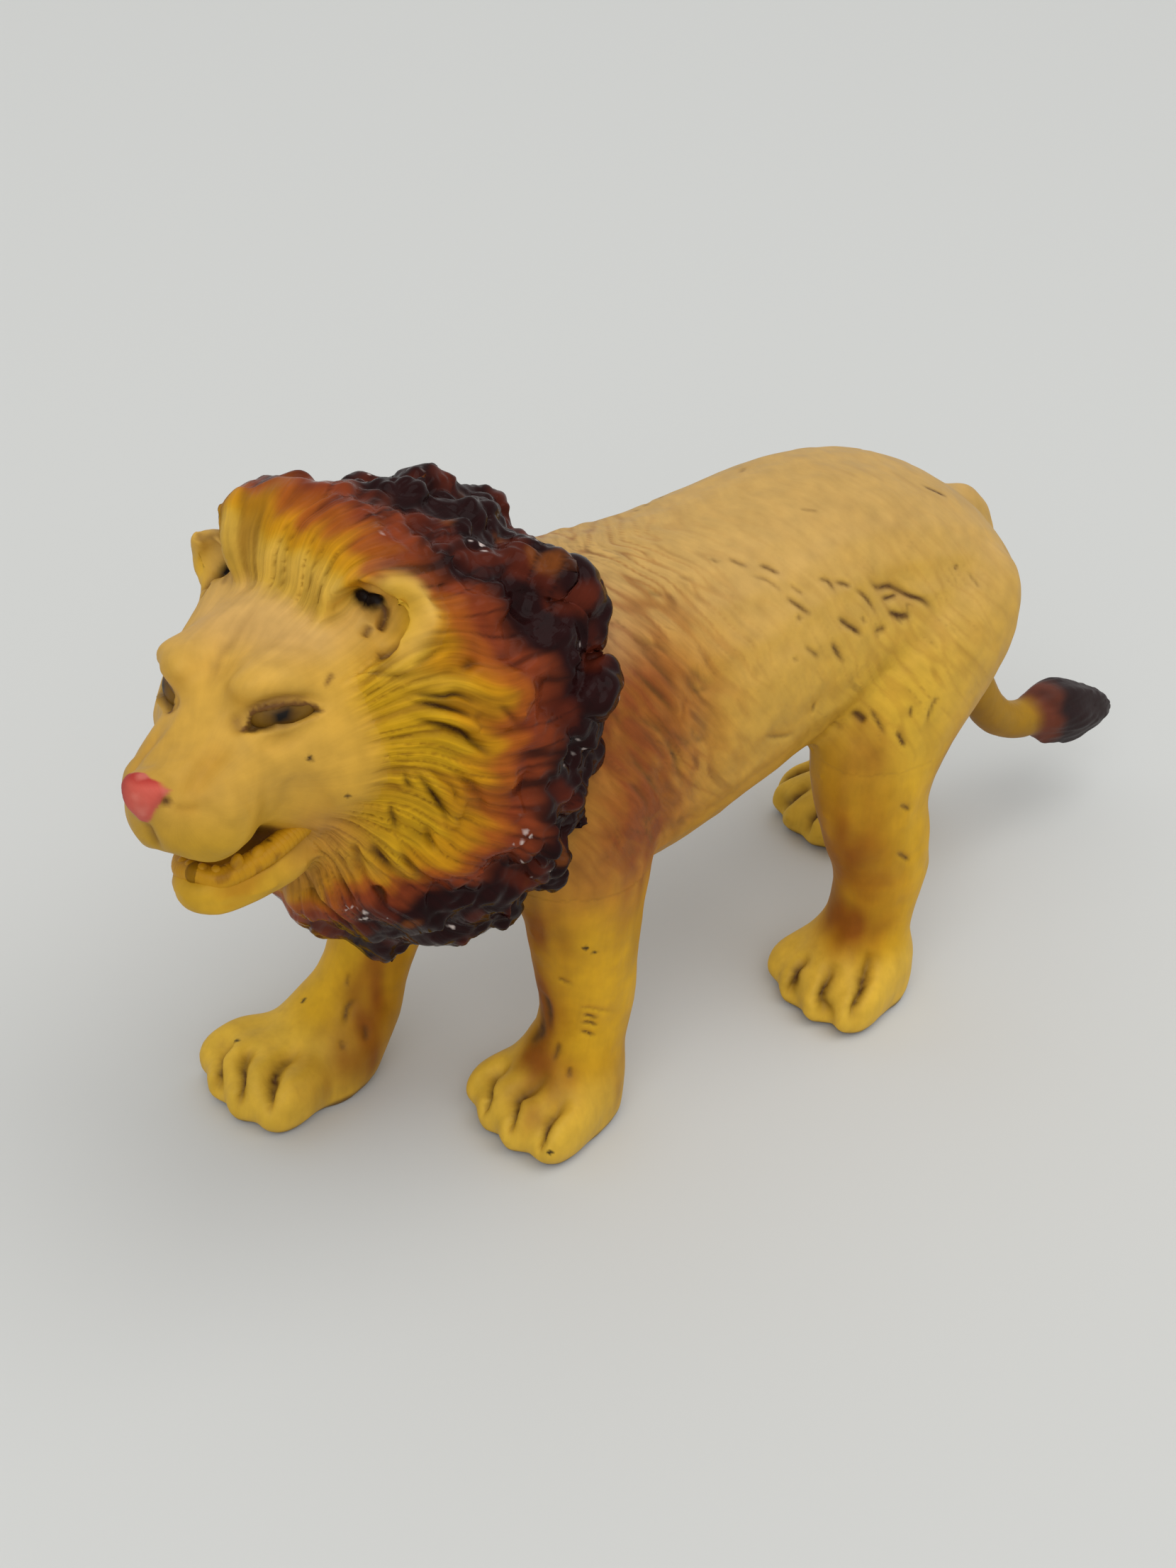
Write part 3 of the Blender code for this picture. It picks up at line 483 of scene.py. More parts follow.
# Marks on the left side: width, depth, darkness and where they run
BODY_MARKS = [
    (0.45, 0.2, 0.45, [(7.0, 1.2, 69.1), (8.0, 2.2, 68.7), (8.9, 3.1, 68.1)]),
    (0.4, 0.16, 0.45, [(6.3, -0.9, 69.4), (7.4, 0.0, 68.9)]),
    (0.5, 0.26, 0.6, [(8.8, 4.5, 68.2), (9.5, 5.8, 67.7), (10.7, 7.1, 67.0)]),
    (0.42, 0.2, 0.35, [(9.5, 3.1, 67.6), (10.7, 4.8, 66.8), (12.1, 6.0, 65.3)]),
    (0.5, 0.26, 0.6, [(12.2, 6.2, 65.1), (13.2, 7.9, 63.8), (14.0, 9.4, 62.4)]),
    (0.42, 0.18, 0.35, [(11.5, 7.5, 66.1), (12.7, 8.9, 64.6)]),
    (0.55, 0.2, 0.45, [(13.7, 7.1, 63.2), (14.1, 7.9, 62.2)]),
    (0.45, 0.24, 0.55, [(12.0, 11.3, 65.6), (12.6, 12.8, 65.0), (13.4, 13.3, 63.8)]),
    (0.5, 0.24, 0.6, [(12.6, 13.4, 65.0), (13.2, 15.2, 64.3), (13.5, 15.5, 63.9)]),
    (0.45, 0.26, 0.55, [(13.5, 16.1, 63.9), (14.3, 18.0, 62.1), (15.1, 19.6, 59.6)]),
    (0.6, 0.4, 0.8, [(13.2, 18.5, 64.4), (14.1, 20.3, 62.6), (14.3, 22.6, 62.3), (15.0, 25.1, 60.4),
        (15.4, 27.6, 58.6), (16.0, 29.9, 56.2)]),
    (0.5, 0.34, 0.9, [(14.6, 20.4, 61.3), (14.7, 22.3, 61.1), (14.8, 23.8, 61.0)]),
    (0.6, 0.42, 1.0, [(15.1, 21.4, 59.7), (15.3, 23.5, 58.4), (15.4, 25.3, 58.1)]),
    (0.55, 0.36, 0.8, [(14.3, 13.1, 61.5), (15.0, 14.8, 59.7), (15.3, 17.5, 57.6)]),
    (0.4, 0.18, 0.45, [(14.9, 16.8, 60.4), (15.2, 17.6, 59.1)]),
    (0.7, 0.3, 0.5, [(15.4, 18.9, 57.5), (15.4, 21.2, 57.6)]),
    (0.5, 0.22, 0.5, [(15.1, 7.4, 59.6), (15.6, 9.9, 57.3)]),
    (0.5, 0.26, 0.6, [(15.3, 11.6, 58.8), (15.7, 14.5, 54.8)]),
    (0.55, 0.25, 0.45, [(15.8, 10.1, 51.4), (15.6, 10.5, 49.1)]),
    (0.5, 0.28, 0.6, [(14.7, 20.3, 46.9), (16.3, 21.2, 44.6), (17.3, 21.7, 43.0)]),
    (0.5, 0.3, 0.8, [(17.7, 22.9, 43.8), (18.8, 24.4, 41.3)]),
    (0.45, 0.22, 0.55, [(17.6, 24.8, 47.1), (18.0, 24.7, 45.3)]),
    (0.5, 0.25, 0.5, [(18.8, 28.6, 47.4), (18.7, 27.4, 46.3), (19.0, 26.5, 43.2)]),
    (0.85, 0.45, 1.0, [(14.1, 18.6, 45.9), (14.6, 19.7, 45.2), (15.4, 20.3, 44.5)]),
    (0.8, 0.3, 0.45, [(13.5, 16.3, 44.4), (13.6, 18.2, 42.7)]),
    (0.45, 0.18, 0.8, [(5.5, 34.8, 68.1), (6.2, 36.3, 67.4), (7.1, 38.1, 66.3)]),
    (0.35, 0.12, 0.4, [(4.9, 14.1, 70.8), (6.4, 16.1, 70.5)]),
    (0.4, 0.15, 0.4, [(14.3, 35.2, 60.7), (15.7, 36.4, 58.1)]),
    (0.4, 0.15, 0.6, [(14.1, 33.6, 61.8), (14.4, 33.4, 61.1)]),
    (0.6, 0.2, 0.3, [(8.0, -11.5, 69.2), (8.9, -9.6, 68.4)]),
    (0.6, 0.16, 0.2, [(7.2, -6.6, 69.3), (8.5, -4.0, 68.4)]),
    (0.7, 0.24, 0.25, [(14.7, -12.3, 62.0), (15.6, -9.1, 59.5), (15.6, -6.5, 59.1)]),
    (0.6, 0.3, 0.3, [(11.0, -16.8, 67.3), (12.6, -14.9, 65.3), (14.3, -12.6, 62.7)]),
    (0.6, 0.3, 0.3, [(11.8, -15.4, 66.4), (12.9, -12.6, 64.7), (14.5, -11.2, 62.4)]),
    (0.6, 0.35, 0.35, [(11.9, -16.5, 66.4), (13.8, -14.3, 63.5), (15.7, -11.8, 59.1)]),
    (0.6, 0.35, 0.35, [(12.4, -17.8, 65.7), (14.1, -16.5, 63.1), (15.5, -14.2, 59.9), (16.4, -12.7, 57.1)]),
    (0.6, 0.25, 0.25, [(13.3, -11.8, 64.2), (15.0, -8.8, 60.9), (15.6, -6.5, 59.1)]),
    (0.6, 0.25, 0.25, [(14.3, -11.0, 62.7), (15.6, -9.1, 59.5), (16.4, -7.4, 57.0)]),
    (0.6, 0.35, 0.35, [(15.4, -19.2, 59.8), (16.2, -16.1, 57.7), (16.6, -14.7, 56.0)]),
    (0.65, 0.4, 0.4, [(16.4, -15.5, 56.7), (16.9, -13.6, 53.4), (16.8, -11.2, 46.8)]),
    (0.65, 0.4, 0.4, [(16.2, -20.1, 56.4), (17.1, -17.9, 52.8), (17.0, -15.2, 48.4)]),
    (0.6, 0.35, 0.35, [(17.2, -21.5, 53.8), (17.8, -18.7, 50.3), (17.9, -17.3, 46.9)]),
    (0.6, 0.3, 0.3, [(16.4, -14.7, 56.9), (16.8, -12.1, 54.7), (16.9, -10.5, 52.8)]),
    (0.6, 0.25, 0.25, [(16.6, -10.6, 56.4), (16.8, -10.0, 53.9), (16.9, -7.2, 52.5)]),
    (0.55, 0.22, 0.35, [(16.6, 0.9, 50.5), (16.0, 4.5, 48.6), (15.6, 7.8, 47.7)]),
    (0.4, 0.15, 0.35, [(15.4, 5.6, 58.9), (15.6, 6.1, 57.9)]),
    (0.45, 0.22, 0.75, [(19.6, 23.7, 33.7), (20.0, 25.8, 32.0)]),
    (0.45, 0.22, 0.85, [(20.2, 24.3, 26.3), (20.4, 26.8, 24.1)]),
    (0.4, 0.25, 0.75, [(15.8, -22.4, 19.1), (16.4, -21.5, 18.9), (16.8, -20.4, 18.1)]),
    (0.4, 0.25, 0.75, [(15.6, -22.3, 17.7), (16.2, -21.3, 17.6), (16.6, -20.2, 16.7)]),
    (0.4, 0.25, 0.7, [(15.3, -22.2, 16.3), (15.9, -21.3, 15.9), (16.4, -20.3, 15.3)]),
    (0.45, 0.25, 0.45, [(14.0, -25.3, 25.0), (14.8, -24.7, 24.6), (15.8, -23.7, 24.2)]),
    (0.4, 0.2, 0.25, [(15.8, -22.9, 20.6), (16.8, -21.2, 20.1), (17.1, -17.8, 18.4)]),
    (0.9, 0.4, 0.8, [(11.6, -24.7, 21.2), (11.9, -24.4, 19.1), (12.0, -23.9, 17.2), (12.0, -23.6, 13.8)]),
    (1.3, 0.35, 0.9, [(10.4, -23.5, 17.5), (10.2, -23.5, 13.7), (9.8, -23.6, 12.2), (9.2, -23.9, 10.0)]),
    (0.6, 0.3, 0.55, [(13.5, -23.3, 14.0), (13.2, -23.5, 12.5), (13.4, -24.1, 10.7)]),
    (0.5, 0.3, 0.6, [(15.3, -22.8, 11.0), (15.7, -23.2, 9.5)]),
    (0.6, 0.45, 0.6, [(-6.7, -40.0, 9.8), (-7.3, -39.5, 11.3), (-7.4, -38.8, 12.3), (-7.0, -37.7, 13.4)]),
    (0.5, 0.3, 0.35, [(-8.7, -38.1, 16.4), (-8.7, -38.4, 15.1), (-8.3, -38.4, 14.1)]),
    (0.6, 0.3, 0.6, [(-5.5, -37.9, 10.4), (-5.0, -37.9, 9.1), (-4.7, -38.4, 7.9)]),
    (0.5, 0.25, 0.5, [(-5.8, -41.0, 9.2), (-5.2, -41.2, 7.6)]),
]
BODY_DOTS = [
    (16.7, -23.7, 30.4), (17.1, -22.7, 29.4), (19.4, -28.7, 3.7), (-12.8, -41.7, 10.7), (-7.3, -36.2, 19.2),
    (-14.9, -50.2, 7.5),
]

# Marks that start lower than this are on the left side alone
MIRRORED_ABOVE = 43.0

# Brushed orange-brown shading: place, reach, amount
BODY_SHADES = [
    ((17.0, 18.0, 40.0), (5.0, 4.5, 6.0), 0.55),
    ((16.0, 20.0, 27.0), (5.0, 5.0, 9.0), 0.65),
    ((16.0, 22.0, 13.0), (5.0, 4.5, 4.0), 0.85),
    ((14.5, 19.5, 13.5), (2.5, 3.5, 3.5), 0.8),
    ((11.5, -25.0, 17.0), (3.0, 3.5, 9.0), 0.95),
    ((12.5, -26.0, 33.5), (3.6, 4.5, 7.5), 0.85),
    ((13.0, -25.0, 10.0), (5.0, 4.0, 3.0), 0.75),
    ((15.8, -28.0, 6.5), (1.3, 3.0, 2.5), 0.6),
    ((17.5, -14.0, 8.0), (4.0, 5.0, 6.0), 0.5),
    ((-5.0, -37.0, 15.0), (3.5, 5.0, 9.0), 0.9),
    ((-4.0, -38.0, 6.0), (4.0, 8.0, 4.5), 0.7),
    ((16.5, -17.0, 34.0), (3.5, 4.0, 8.0), 0.4),
    ((18.0, 34.0, 33.0), (4.0, 4.0, 8.0), 0.45),
]

# Broad forms on both sides: place, reach, height
BODY_FORMS = [
    ((17.0, -17.0, 54.0), (6.0, 7.0, 11.0), 0.5),
    ((16.0, -7.5, 54.0), (4.0, 2.6, 11.0), -0.7),
    ((15.0, 24.0, 61.5), (5.0, 7.0, 3.2), -0.7),
    ((17.5, 27.0, 50.0), (5.0, 8.0, 7.0), 0.6),
    ((15.8, 12.0, 51.0), (4.0, 2.4, 6.5), -0.6),
    ((13.5, 17.5, 44.0), (5.0, 2.6, 2.4), -0.5),
    ((18.0, 30.5, 26.0), (4.0, 3.0, 3.5), 0.6),
]

rest = body.points.copy()
x, y, z = rest.T
mirror = rest * RIGHT
paw = eased(z, 12.5, 6.0)
for _ in range(45):
    body.points += 0.5 * paw[:, None] * (body.averaged(body.points) - body.points)
body.normals = body.fresh_normals()
body.push(0.55 * paw)

relief, wash, marks = np.zeros((3, len(rest)))
for surface in (rest, mirror):
    for place, reach, height in BODY_FORMS:
        relief += height * near_place(surface, place, reach)
    for width, depth, dark, line in BODY_MARKS:
        if surface is rest or line[0][2] >= MIRRORED_ABOVE:
            traced(surface, line, (marks, 0.8 * width, -0.8 * depth), (wash, 0.58 * width, 1.35 * dark))
(left_x, left_y), (right_x, right_y) = HIND_PAW_PLACES
right_grooves = [
    [(right_x - (a - left_x), right_y + (b - left_y), c) for a, b, c in line] for line in HIND_TOE_GROOVES
]
for wider, lines in ((1.0, FRONT_TOE_GROOVES), (1.35, HIND_TOE_GROOVES + right_grooves)):
    for line in lines:
        traced(
            body.points,
            line,
            (relief, 1.5, -0.55, 0.15),
            (relief, 0.6 * wider, -1.05, 0.25),
            (wash, 0.42 * wider**2, 0.8, 0.45),
            (wash, 1.1, 0.22, 0.45),
        )
relief += 0.16 * noise(rest, 6.5, 3) + 0.05 * noise(rest, 2.2, 4)

# Carved hair strokes behind the mane, running down and back
around = 17.0 * np.arctan2(np.abs(x), np.maximum(z - 48.0, -8.0))
flow = np.stack([0.78 * y - 0.62 * around, 0.2 * (0.62 * y + 0.78 * around), 0.15 * x], axis=1)
leg_flow = np.stack([x, y, 0.18 * z], axis=1)
flow = np.where((z < 38.0)[:, None], leg_flow, flow)
wander = 0.35 * noise(rest, 5.0, 7)[:, None]
hair = np.abs(noise(flow + wander, 1.7, 5))
behind_mane = hill(y, -16.0, 11.0) * eased(z, 36.0, 46.0)
hip = near_place(folded(rest), (16.0, 24.0, 52.0), (8.0, 12.0, 12.0))
relief += (0.45 * behind_mane + 0.09 * hip + 0.03) * (hair - 0.3)
relief = body.blurred(relief, 2) + marks
body.push(relief)

tuft = eased(y, 71.0, 76.0) * eased(z, 26.0, 23.0)
along_tuft = np.abs(noise(rest * np.array([1.0, 0.12, 1.0]), 1.1, 9))
body.points[:, 2] = np.maximum(body.points[:, 2], 0.02)
body.push(tuft * (0.3 * along_tuft - 0.1) + 0.5 * tuft * eased(y, 86.0, 80.0))

# Paint of the body
side, forward, up = body.normals.T
top_sheen = eased(up, 0.0, 0.95) * eased(z, 45.0, 60.0)
legs = eased(z, 46.0, 34.0)
hind_backs = (0.65 + 0.5 * noise(rest, 3.5, 18)) * eased(y, 5.0, 12.0) * hill(z, 22.0, 12.0)
fore_backs = (0.7 + 0.5 * noise(rest, 3.5, 19)) * eased(y, 0.0, -8.0) * eased(z, 12.0, 30.0) * legs
paint = mixed(
    np.tile([0.54, 0.315, 0.05], (len(rest), 1)),
    # painted sheen on the upward-facing top of the back, over paler paint there
    ((0.485, 0.295, 0.085), top_sheen),
    ((0.6, 0.335, 0.012), legs),
    # painted shade: surfaces facing down turn a deeper orange
    ((0.42, 0.17, 0.006), 0.6 * eased(up, 0.15, -0.6) * eased(z, 4.0, 12.0)),
    ((0.61, 0.37, 0.028), 0.8 * hill(y, 23.0, 10.0) * hill(z, 45.0, 11.0)),
    ((0.36, 0.14, 0.006), hind_backs * eased(forward, 0.25, -0.75)),
    ((0.66, 0.42, 0.055), 0.6 * eased(z, 11.0, 7.0)),
    ((0.36, 0.125, 0.01), fore_backs * eased(side - 0.4 * forward, 0.8, -0.1)),
)
brushed = 0.5 + 0.5 * noise(rest * np.array([1.0, 1.0, 0.35]), 2.4, 11)
for place, reach, amount in BODY_SHADES:
    near = near_place(rest, place, reach)
    paint = mixed(paint, ((0.23, 0.068, 0.003), 1.2 * amount * near * (0.4 + 1.2 * brushed)))
streaks = noise(flow + wander, 1.2, 6)
wide_rust = hill(y, -18.0, 12.0) * eased(z, 30.0, 44.0) * eased(z, 73.0, 60.0)
# Close to the mane's edge: darker rust paint and painted shadow of the mane
rust_and_mane_shadow = hill(y, -18.5, 7.5) * eased(z, 32.0, 44.0) * eased(z, 71.0, 60.0)
paint = mixed(
    paint,
    ((0.46, 0.185, 0.022), wide_rust * (0.75 + 0.5 * brushed)),
    ((0.23, 0.058, 0.01), rust_and_mane_shadow * (0.8 + 0.6 * brushed + 0.6 * streaks)),
    ((0.26, 0.085, 0.01), (0.7 * behind_mane + 0.2 * hip + 0.05) * eased(0.22 - hair, 0.0, 0.2)),
    ((0.26, 0.12, 0.012), (0.1 + 0.3 * hip) * eased(streaks, 0.25, 0.8)),
    ((0.14, 0.045, 0.008), 0.75 * behind_mane * eased(streaks, 0.3, 0.75)),
    ((0.4, 0.24, 0.14), 0.35 * hill(y, -22.0, 7.0) * eased(z, 62.0, 67.0)),
    # painted shade under the belly and chest, on surfaces facing down
    ((0.36, 0.2, 0.03), 0.5 * eased(up, -0.2, -0.9) * eased(z, 25.0, 35.0)),
    ((0.28, 0.14, 0.008), 0.85 * eased(y, 53.0, 60.0)),
    ((0.125, 0.03, 0.014), eased(y, 70.5, 74.0)),
    ((0.016, 0.006, 0.006), eased(y + 2.0 * noise(rest, 3.0, 12), 73.5, 78.5)),
)
paint *= (1.0 + 0.09 * noise(rest, 9.0, 13) + 0.05 * noise(rest, 2.5, 14))[:, None]
hollow = eased(body.blurred(relief, 10) - relief, 0.03, 0.22)
speckle = eased(noise(rest, 0.9, 15), -0.5, 0.4)
hairline = np.abs(noise(flow + wander, 1.5, 17))
patchy = eased(noise(rest, 5.0, 22), -0.1, 0.5) * np.clip(0.9 * behind_mane + 0.9 * hip, 0.0, 1.0)
wash += 0.5 * patchy * eased(0.07 - hairline, 0.0, 0.06)
paint = mixed(
    paint,
    ((0.22, 0.09, 0.008), (0.22 + 0.2 * eased(z, 8.0, 14.0)) * hollow),
    ((0.085, 0.036, 0.008), np.clip(wash * (0.75 + 0.35 * speckle), 0.0, 1.0)),
    # painted contact shadow at the bottom of the paws, where they meet the floor
    ((0.1, 0.045, 0.012), 0.85 * eased(z, 1.5, 0.5)),
)
for place in BODY_DOTS:
    gap = gap_to(rest, snapped(rest, [place])[0])
    paint = mixed(paint, ((0.02, 0.012, 0.006), eased(gap, 0.42, 0.25)))
body.paint = {
    "paint": np.clip(paint, 0.0, 1.0),
    "comb": (flow + wander) / 0.55,
    "comb_amount": (0.12 + 0.5 * behind_mane + 0.08 * hip)[:, None],
    "gloss": np.zeros((len(rest), 1)),
}


# Head and mane

# Pulls on the face, given for the left side: place, reach and shift
FACE_PULLS = [
    ((0.0, -26.5, -3.5), 7.0, (0.0, -0.9, 0.4)),
    ((0.0, -25.0, -8.0), 5.5, (0.0, -0.5, -0.3)),
    ((3.8, -20.0, -9.8), 6.0, (0.3, -0.2, -1.3)),
    ((6.0, -14.0, -9.5), 4.5, (0.3, 0.0, -0.6)),
    ((6.5, -19.5, -3.0), 5.0, (0.5, 0.0, 0.0)),
    ((3.6, -17.2, 5.6), 4.2, (0.2, -0.8, 0.3)),
    ((8.0, -12.6, 6.0), 3.6, (0.5, -0.4, 0.1)),
]
RIGHT_EAR_PULL = ((-11.8, -3.0, 10.4), 7.5, (0.9, 0.0, 2.6))

# Relief on the face: width, height and where it runs on the left side
BROW_CREASE = [(4.4, -17.2, 1.6), (5.2, -16.3, 2.9), (7.4, -14.4, 4.0), (9.4, -12.0, 3.4), (10.4, -10.2, 2.6)]
EYE_CORNER = [(3.2, -17.4, 2.6), (4.3, -17.2, 1.4), (4.7, -17.3, 0.2)]
UPPER_LID = [(4.9, -16.8, 1.3), (5.6, -16.0, 2.7), (7.5, -14.3, 3.5), (9.0, -12.5, 3.0), (10.0, -11.1, 2.2)]
LOWER_LID = [(5.0, -16.9, 0.3), (6.2, -16.0, 0.8), (7.8, -14.7, 1.1), (9.4, -12.3, 1.5), (10.2, -10.9, 1.9)]
MUZZLE_EDGE = [(4.6, -17.8, -0.4), (3.9, -20.5, -1.6), (3.7, -23.2, -3.5), (3.0, -25.0, -5.0)]
NOSTRIL_EDGE = [(2.4, -25.9, -5.0), (3.4, -24.4, -5.6), (4.2, -22.8, -5.8)]
FACE_RELIEF = [
    (1.6, 1.0, [(1.6, -17.6, 4.4), (4.2, -16.9, 5.2), (7.0, -14.6, 5.6), (9.4, -10.8, 5.4)]),
    (0.6, -0.7, BROW_CREASE),
    (0.9, -0.5, EYE_CORNER),
    (0.42, 0.36, UPPER_LID),
    (0.45, 0.34, LOWER_LID),
    (0.7, -0.3, [(5.6, -16.8, -0.9), (7.6, -15.3, -0.5), (9.6, -12.6, 0.3)]),
    (0.9, -0.4, MUZZLE_EDGE),
    (2.2, 0.45, [(5.6, -19.6, -4.6), (5.2, -22.2, -6.6)]),
    (0.5, -0.3, NOSTRIL_EDGE),
    (1.1, 0.45, [(1.4, -23.2, -11.0), (3.6, -20.8, -11.4), (5.4, -16.8, -11.0), (6.6, -12.6, -10.2)]),
    (0.7, 0.35, [(7.6, -9.8, -10.2), (8.0, -8.4, -11.8), (7.0, -8.0, -13.4)]),
    (0.8, -0.25, [(9.0, -13.2, -3.6), (9.6, -10.4, -7.4), (9.4, -8.2, -10.6)]),
    (0.5, 0.25, [(0.0, -19.2, -15.4), (3.0, -17.9, -15.8), (5.2, -12.8, -14.8), (6.4, -8.6, -12.8)]),
    (1.0, -0.35, [(0.0, -19.0, -17.4), (2.6, -17.6, -17.6), (4.8, -13.6, -16.8)]),
]

# Dark washes and amber washes along lines of the face: width, amount and line
FACE_WASHES = [
    (0.4, 0.55, BROW_CREASE[:-1]),
    (0.55, 0.45, EYE_CORNER),
    (0.3, 0.6, UPPER_LID),
    (0.25, 0.35, LOWER_LID),
]
FACE_AMBERS = [(1.6, 0.5, MUZZLE_EDGE), (0.8, 0.4, NOSTRIL_EDGE)]

# Relief along the middle of the muzzle: width, height and line
MIDDLE_RELIEF = [
    (0.9, 0.3, [(2.4, -18.0, 3.0), (2.5, -21.5, 0.4), (2.3, -25.0, -2.4)]),
    (0.9, 0.3, [(-2.4, -18.0, 3.0), (-2.5, -21.5, 0.4), (-2.3, -25.0, -2.4)]),
    (0.42, -0.45, [(0.0, -26.6, -6.8), (0.0, -25.4, -9.0), (0.0, -23.9, -11.2)]),
    (1.1, -0.35, [(0.0, -9.6, 15.0), (0.0, -14.0, 9.6), (0.0, -17.0, 5.0)]),
]

# The ears, given for the left one
EAR_MIDDLE = (11.4, -3.0, 10.4)
EAR_HOLE = [(8.2, -2.8, 12.2), (8.9, -2.5, 12.0), (9.6, -2.4, 11.6)]
EAR_FILLED = (9.6, -2.8, 9.2)
EAR_RIM = [(8.5, -3.5, 13.3), (11.4, -5.1, 14.6), (13.1, -4.5, 14.8), (14.2, -3.1, 13.9), (15.2, -1.7, 12.1),
           (16.5, -2.2, 10.5), (16.2, -3.0, 9.3), (15.2, -4.2, 8.4)]
EAR_BOWL = (13.4, -4.3, 11.4)
# Folds of the ear: depth, darkness and line
EAR_FOLDS = [
    (0.9, 1.1, [(9.8, -1.6, 11.2), (10.1, -1.5, 10.3), (10.4, -2.0, 9.3), (10.5, -2.6, 8.7)]),
    (0.8, 1.1, [(11.3, -4.4, 6.9), (11.9, -3.7, 6.9), (13.1, -3.7, 7.7), (15.1, -4.1, 8.9)]),
    (0.4, 0.8, [(9.3, -3.2, 9.2), (9.3, -3.8, 8.6), (9.8, -4.4, 8.2)]),
]

# Thin dark lines beside the ear and at the end of the brow: width, darkness and line
EAR_LINES = [
    (0.35, 0.6, [(10.3, -5.3, 14.8), (10.8, -4.9, 15.2), (11.9, -4.6, 15.2), (13.1, -4.2, 15.0)]),
    (0.4, 0.5, [(7.6, -6.8, 13.1), (7.9, -6.1, 13.1), (8.1, -5.3, 13.2)]),
    (0.3, 0.8, [(9.6, -10.6, 4.6), (9.7, -9.8, 5.3), (9.7, -9.0, 5.9)]),
]

# The places without hair round the ears, and how far the head reaches into the mane there
EAR_AREA = (12.6, -3.4, 11.0)
EAR_REACH = 6.2

# Deep grooves between locks of the mane: width, depth, darkness and where they run on the left side
LOCK_GROOVES = [
    (0.45, 0.7, 0.9, [(13.4, -17.1, 9.8), (15.1, -15.3, 9.9), (16.4, -13.5, 9.9), (17.1, -11.8, 10.2),
        (18.1, -10.1, 9.7), (18.9, -8.6, 9.3)]),
    (0.45, 0.8, 1.0, [(13.7, -16.8, 9.5), (15.2, -15.6, 9.0), (16.1, -14.5, 8.9), (16.8, -13.5, 8.9),
        (17.9, -11.6, 8.7), (18.7, -8.9, 7.9), (19.4, -6.9, 7.5)]),
    (0.55, 1.0, 1.2, [(14.8, -16.2, 7.4), (16.2, -14.5, 7.1), (18.0, -12.1, 6.8), (18.7, -10.0, 6.0),
        (19.2, -8.0, 4.8), (20.0, -6.8, 3.8)]),
    (0.5, 0.9, 1.0, [(16.1, -14.7, 2.5), (16.9, -13.9, 1.2), (17.8, -12.8, -0.2), (18.4, -11.8, -1.4),
        (18.7, -10.8, -2.7), (18.4, -9.8, -4.6)]),
    (0.45, 0.6, 0.7, [(15.3, -15.6, 1.9), (16.1, -14.9, 0.5), (16.6, -14.3, -0.1)]),
    (0.45, 0.6, 0.7, [(14.8, -15.6, -2.0), (15.0, -15.1, -3.0), (14.9, -14.1, -4.7), (15.0, -13.4, -5.9)]),
    (0.55, 0.9, 1.0, [(13.1, -15.0, -7.3), (13.4, -14.2, -8.5), (14.0, -12.9, -9.7), (14.4, -11.2, -11.3)]),
    (0.6, 0.9, 1.0, [(12.2, -12.3, -12.5), (12.6, -11.3, -13.5), (13.1, -10.1, -14.8)]),
    (0.5, 0.8, 0.9, [(5.1, -15.0, -15.6), (5.8, -13.8, -16.4), (6.4, -12.5, -17.4), (7.0, -10.7, -18.6),
        (8.1, -8.8, -19.7)]),
    (0.4, 0.5, 0.5, [(9.8, -16.6, -9.3), (10.3, -15.9, -10.0), (10.6, -14.8, -11.2)]),
    (0.6, 0.8, 0.7, [(16.3, -11.3, 12.4), (16.8, -10.2, 13.2), (17.0, -8.9, 13.7)]),
    (0.45, 0.5, 0.3, [(9.7, -19.3, 11.0), (11.2, -18.8, 10.9), (13.4, -17.0, 11.1), (15.1, -14.7, 11.2)]),
    (0.45, 0.6, 0.4, [(16.6, -13.7, 2.9), (17.6, -12.3, 2.0), (18.6, -10.8, 0.7), (19.1, -9.9, -0.7),
        (19.1, -8.7, -2.4)]),
    (0.55, 0.8, 0.6, [(15.0, -13.2, -6.7), (15.5, -11.5, -8.7), (15.9, -9.2, -10.5), (16.3, -7.5, -11.5)]),
    (0.5, 0.7, 0.5, [(17.3, -12.3, -3.5), (17.0, -10.8, -5.8), (17.6, -9.9, -7.2)]),
    (0.5, 0.7, 0.6, [(9.4, -15.4, -12.0), (10.2, -13.5, -14.4), (10.8, -11.3, -16.5)]),
    (0.5, 0.7, 0.5, [(11.7, -16.1, -7.0), (11.8, -14.9, -9.5), (12.0, -12.8, -12.1)]),
    (0.5, 0.6, 0.4, [(13.8, -16.3, 12.3), (14.6, -14.3, 13.2), (15.2, -11.9, 15.2)]),
    (0.45, 0.6, 0.4, [(17.3, -12.3, 3.1), (18.4, -10.5, 2.2), (19.3, -8.6, 0.8), (19.7, -7.0, -1.2),
        (19.6, -5.5, -3.8)]),
    (0.5, 0.6, 0.5, [(19.2, -8.0, 9.9), (20.0, -6.2, 8.6), (20.0, -4.1, 6.9)]),
]

# Fuller places of the mane: place, reach, height
MANE_FORMS = [((-10.0, -16.5, 19.5), 9.0, 4.2), ((14.3, 5.6, 19.3), 8.5, 3.8), ((19.0, 7.0, 11.0), 7.0, 2.0)]

# How far back the yellow hair reaches, by height
YELLOW_HEIGHTS = [-20.0, -13.0, -6.0, 4.0, 12.5, 17.0, 22.0, 27.0]
YELLOW_ENDS = [-17.0, -11.5, -7.5, -5.2, -7.6, -12.0, -18.0, -19.0]

# The nose pad's outline from the top to the bottom: up, half width
NOSE_PAD = [(-2.3, 0.4), (-2.8, 1.8), (-3.6, 2.6), (-4.6, 2.45), (-5.5, 1.7), (-6.4, 1.2), (-7.1, 0.5)]

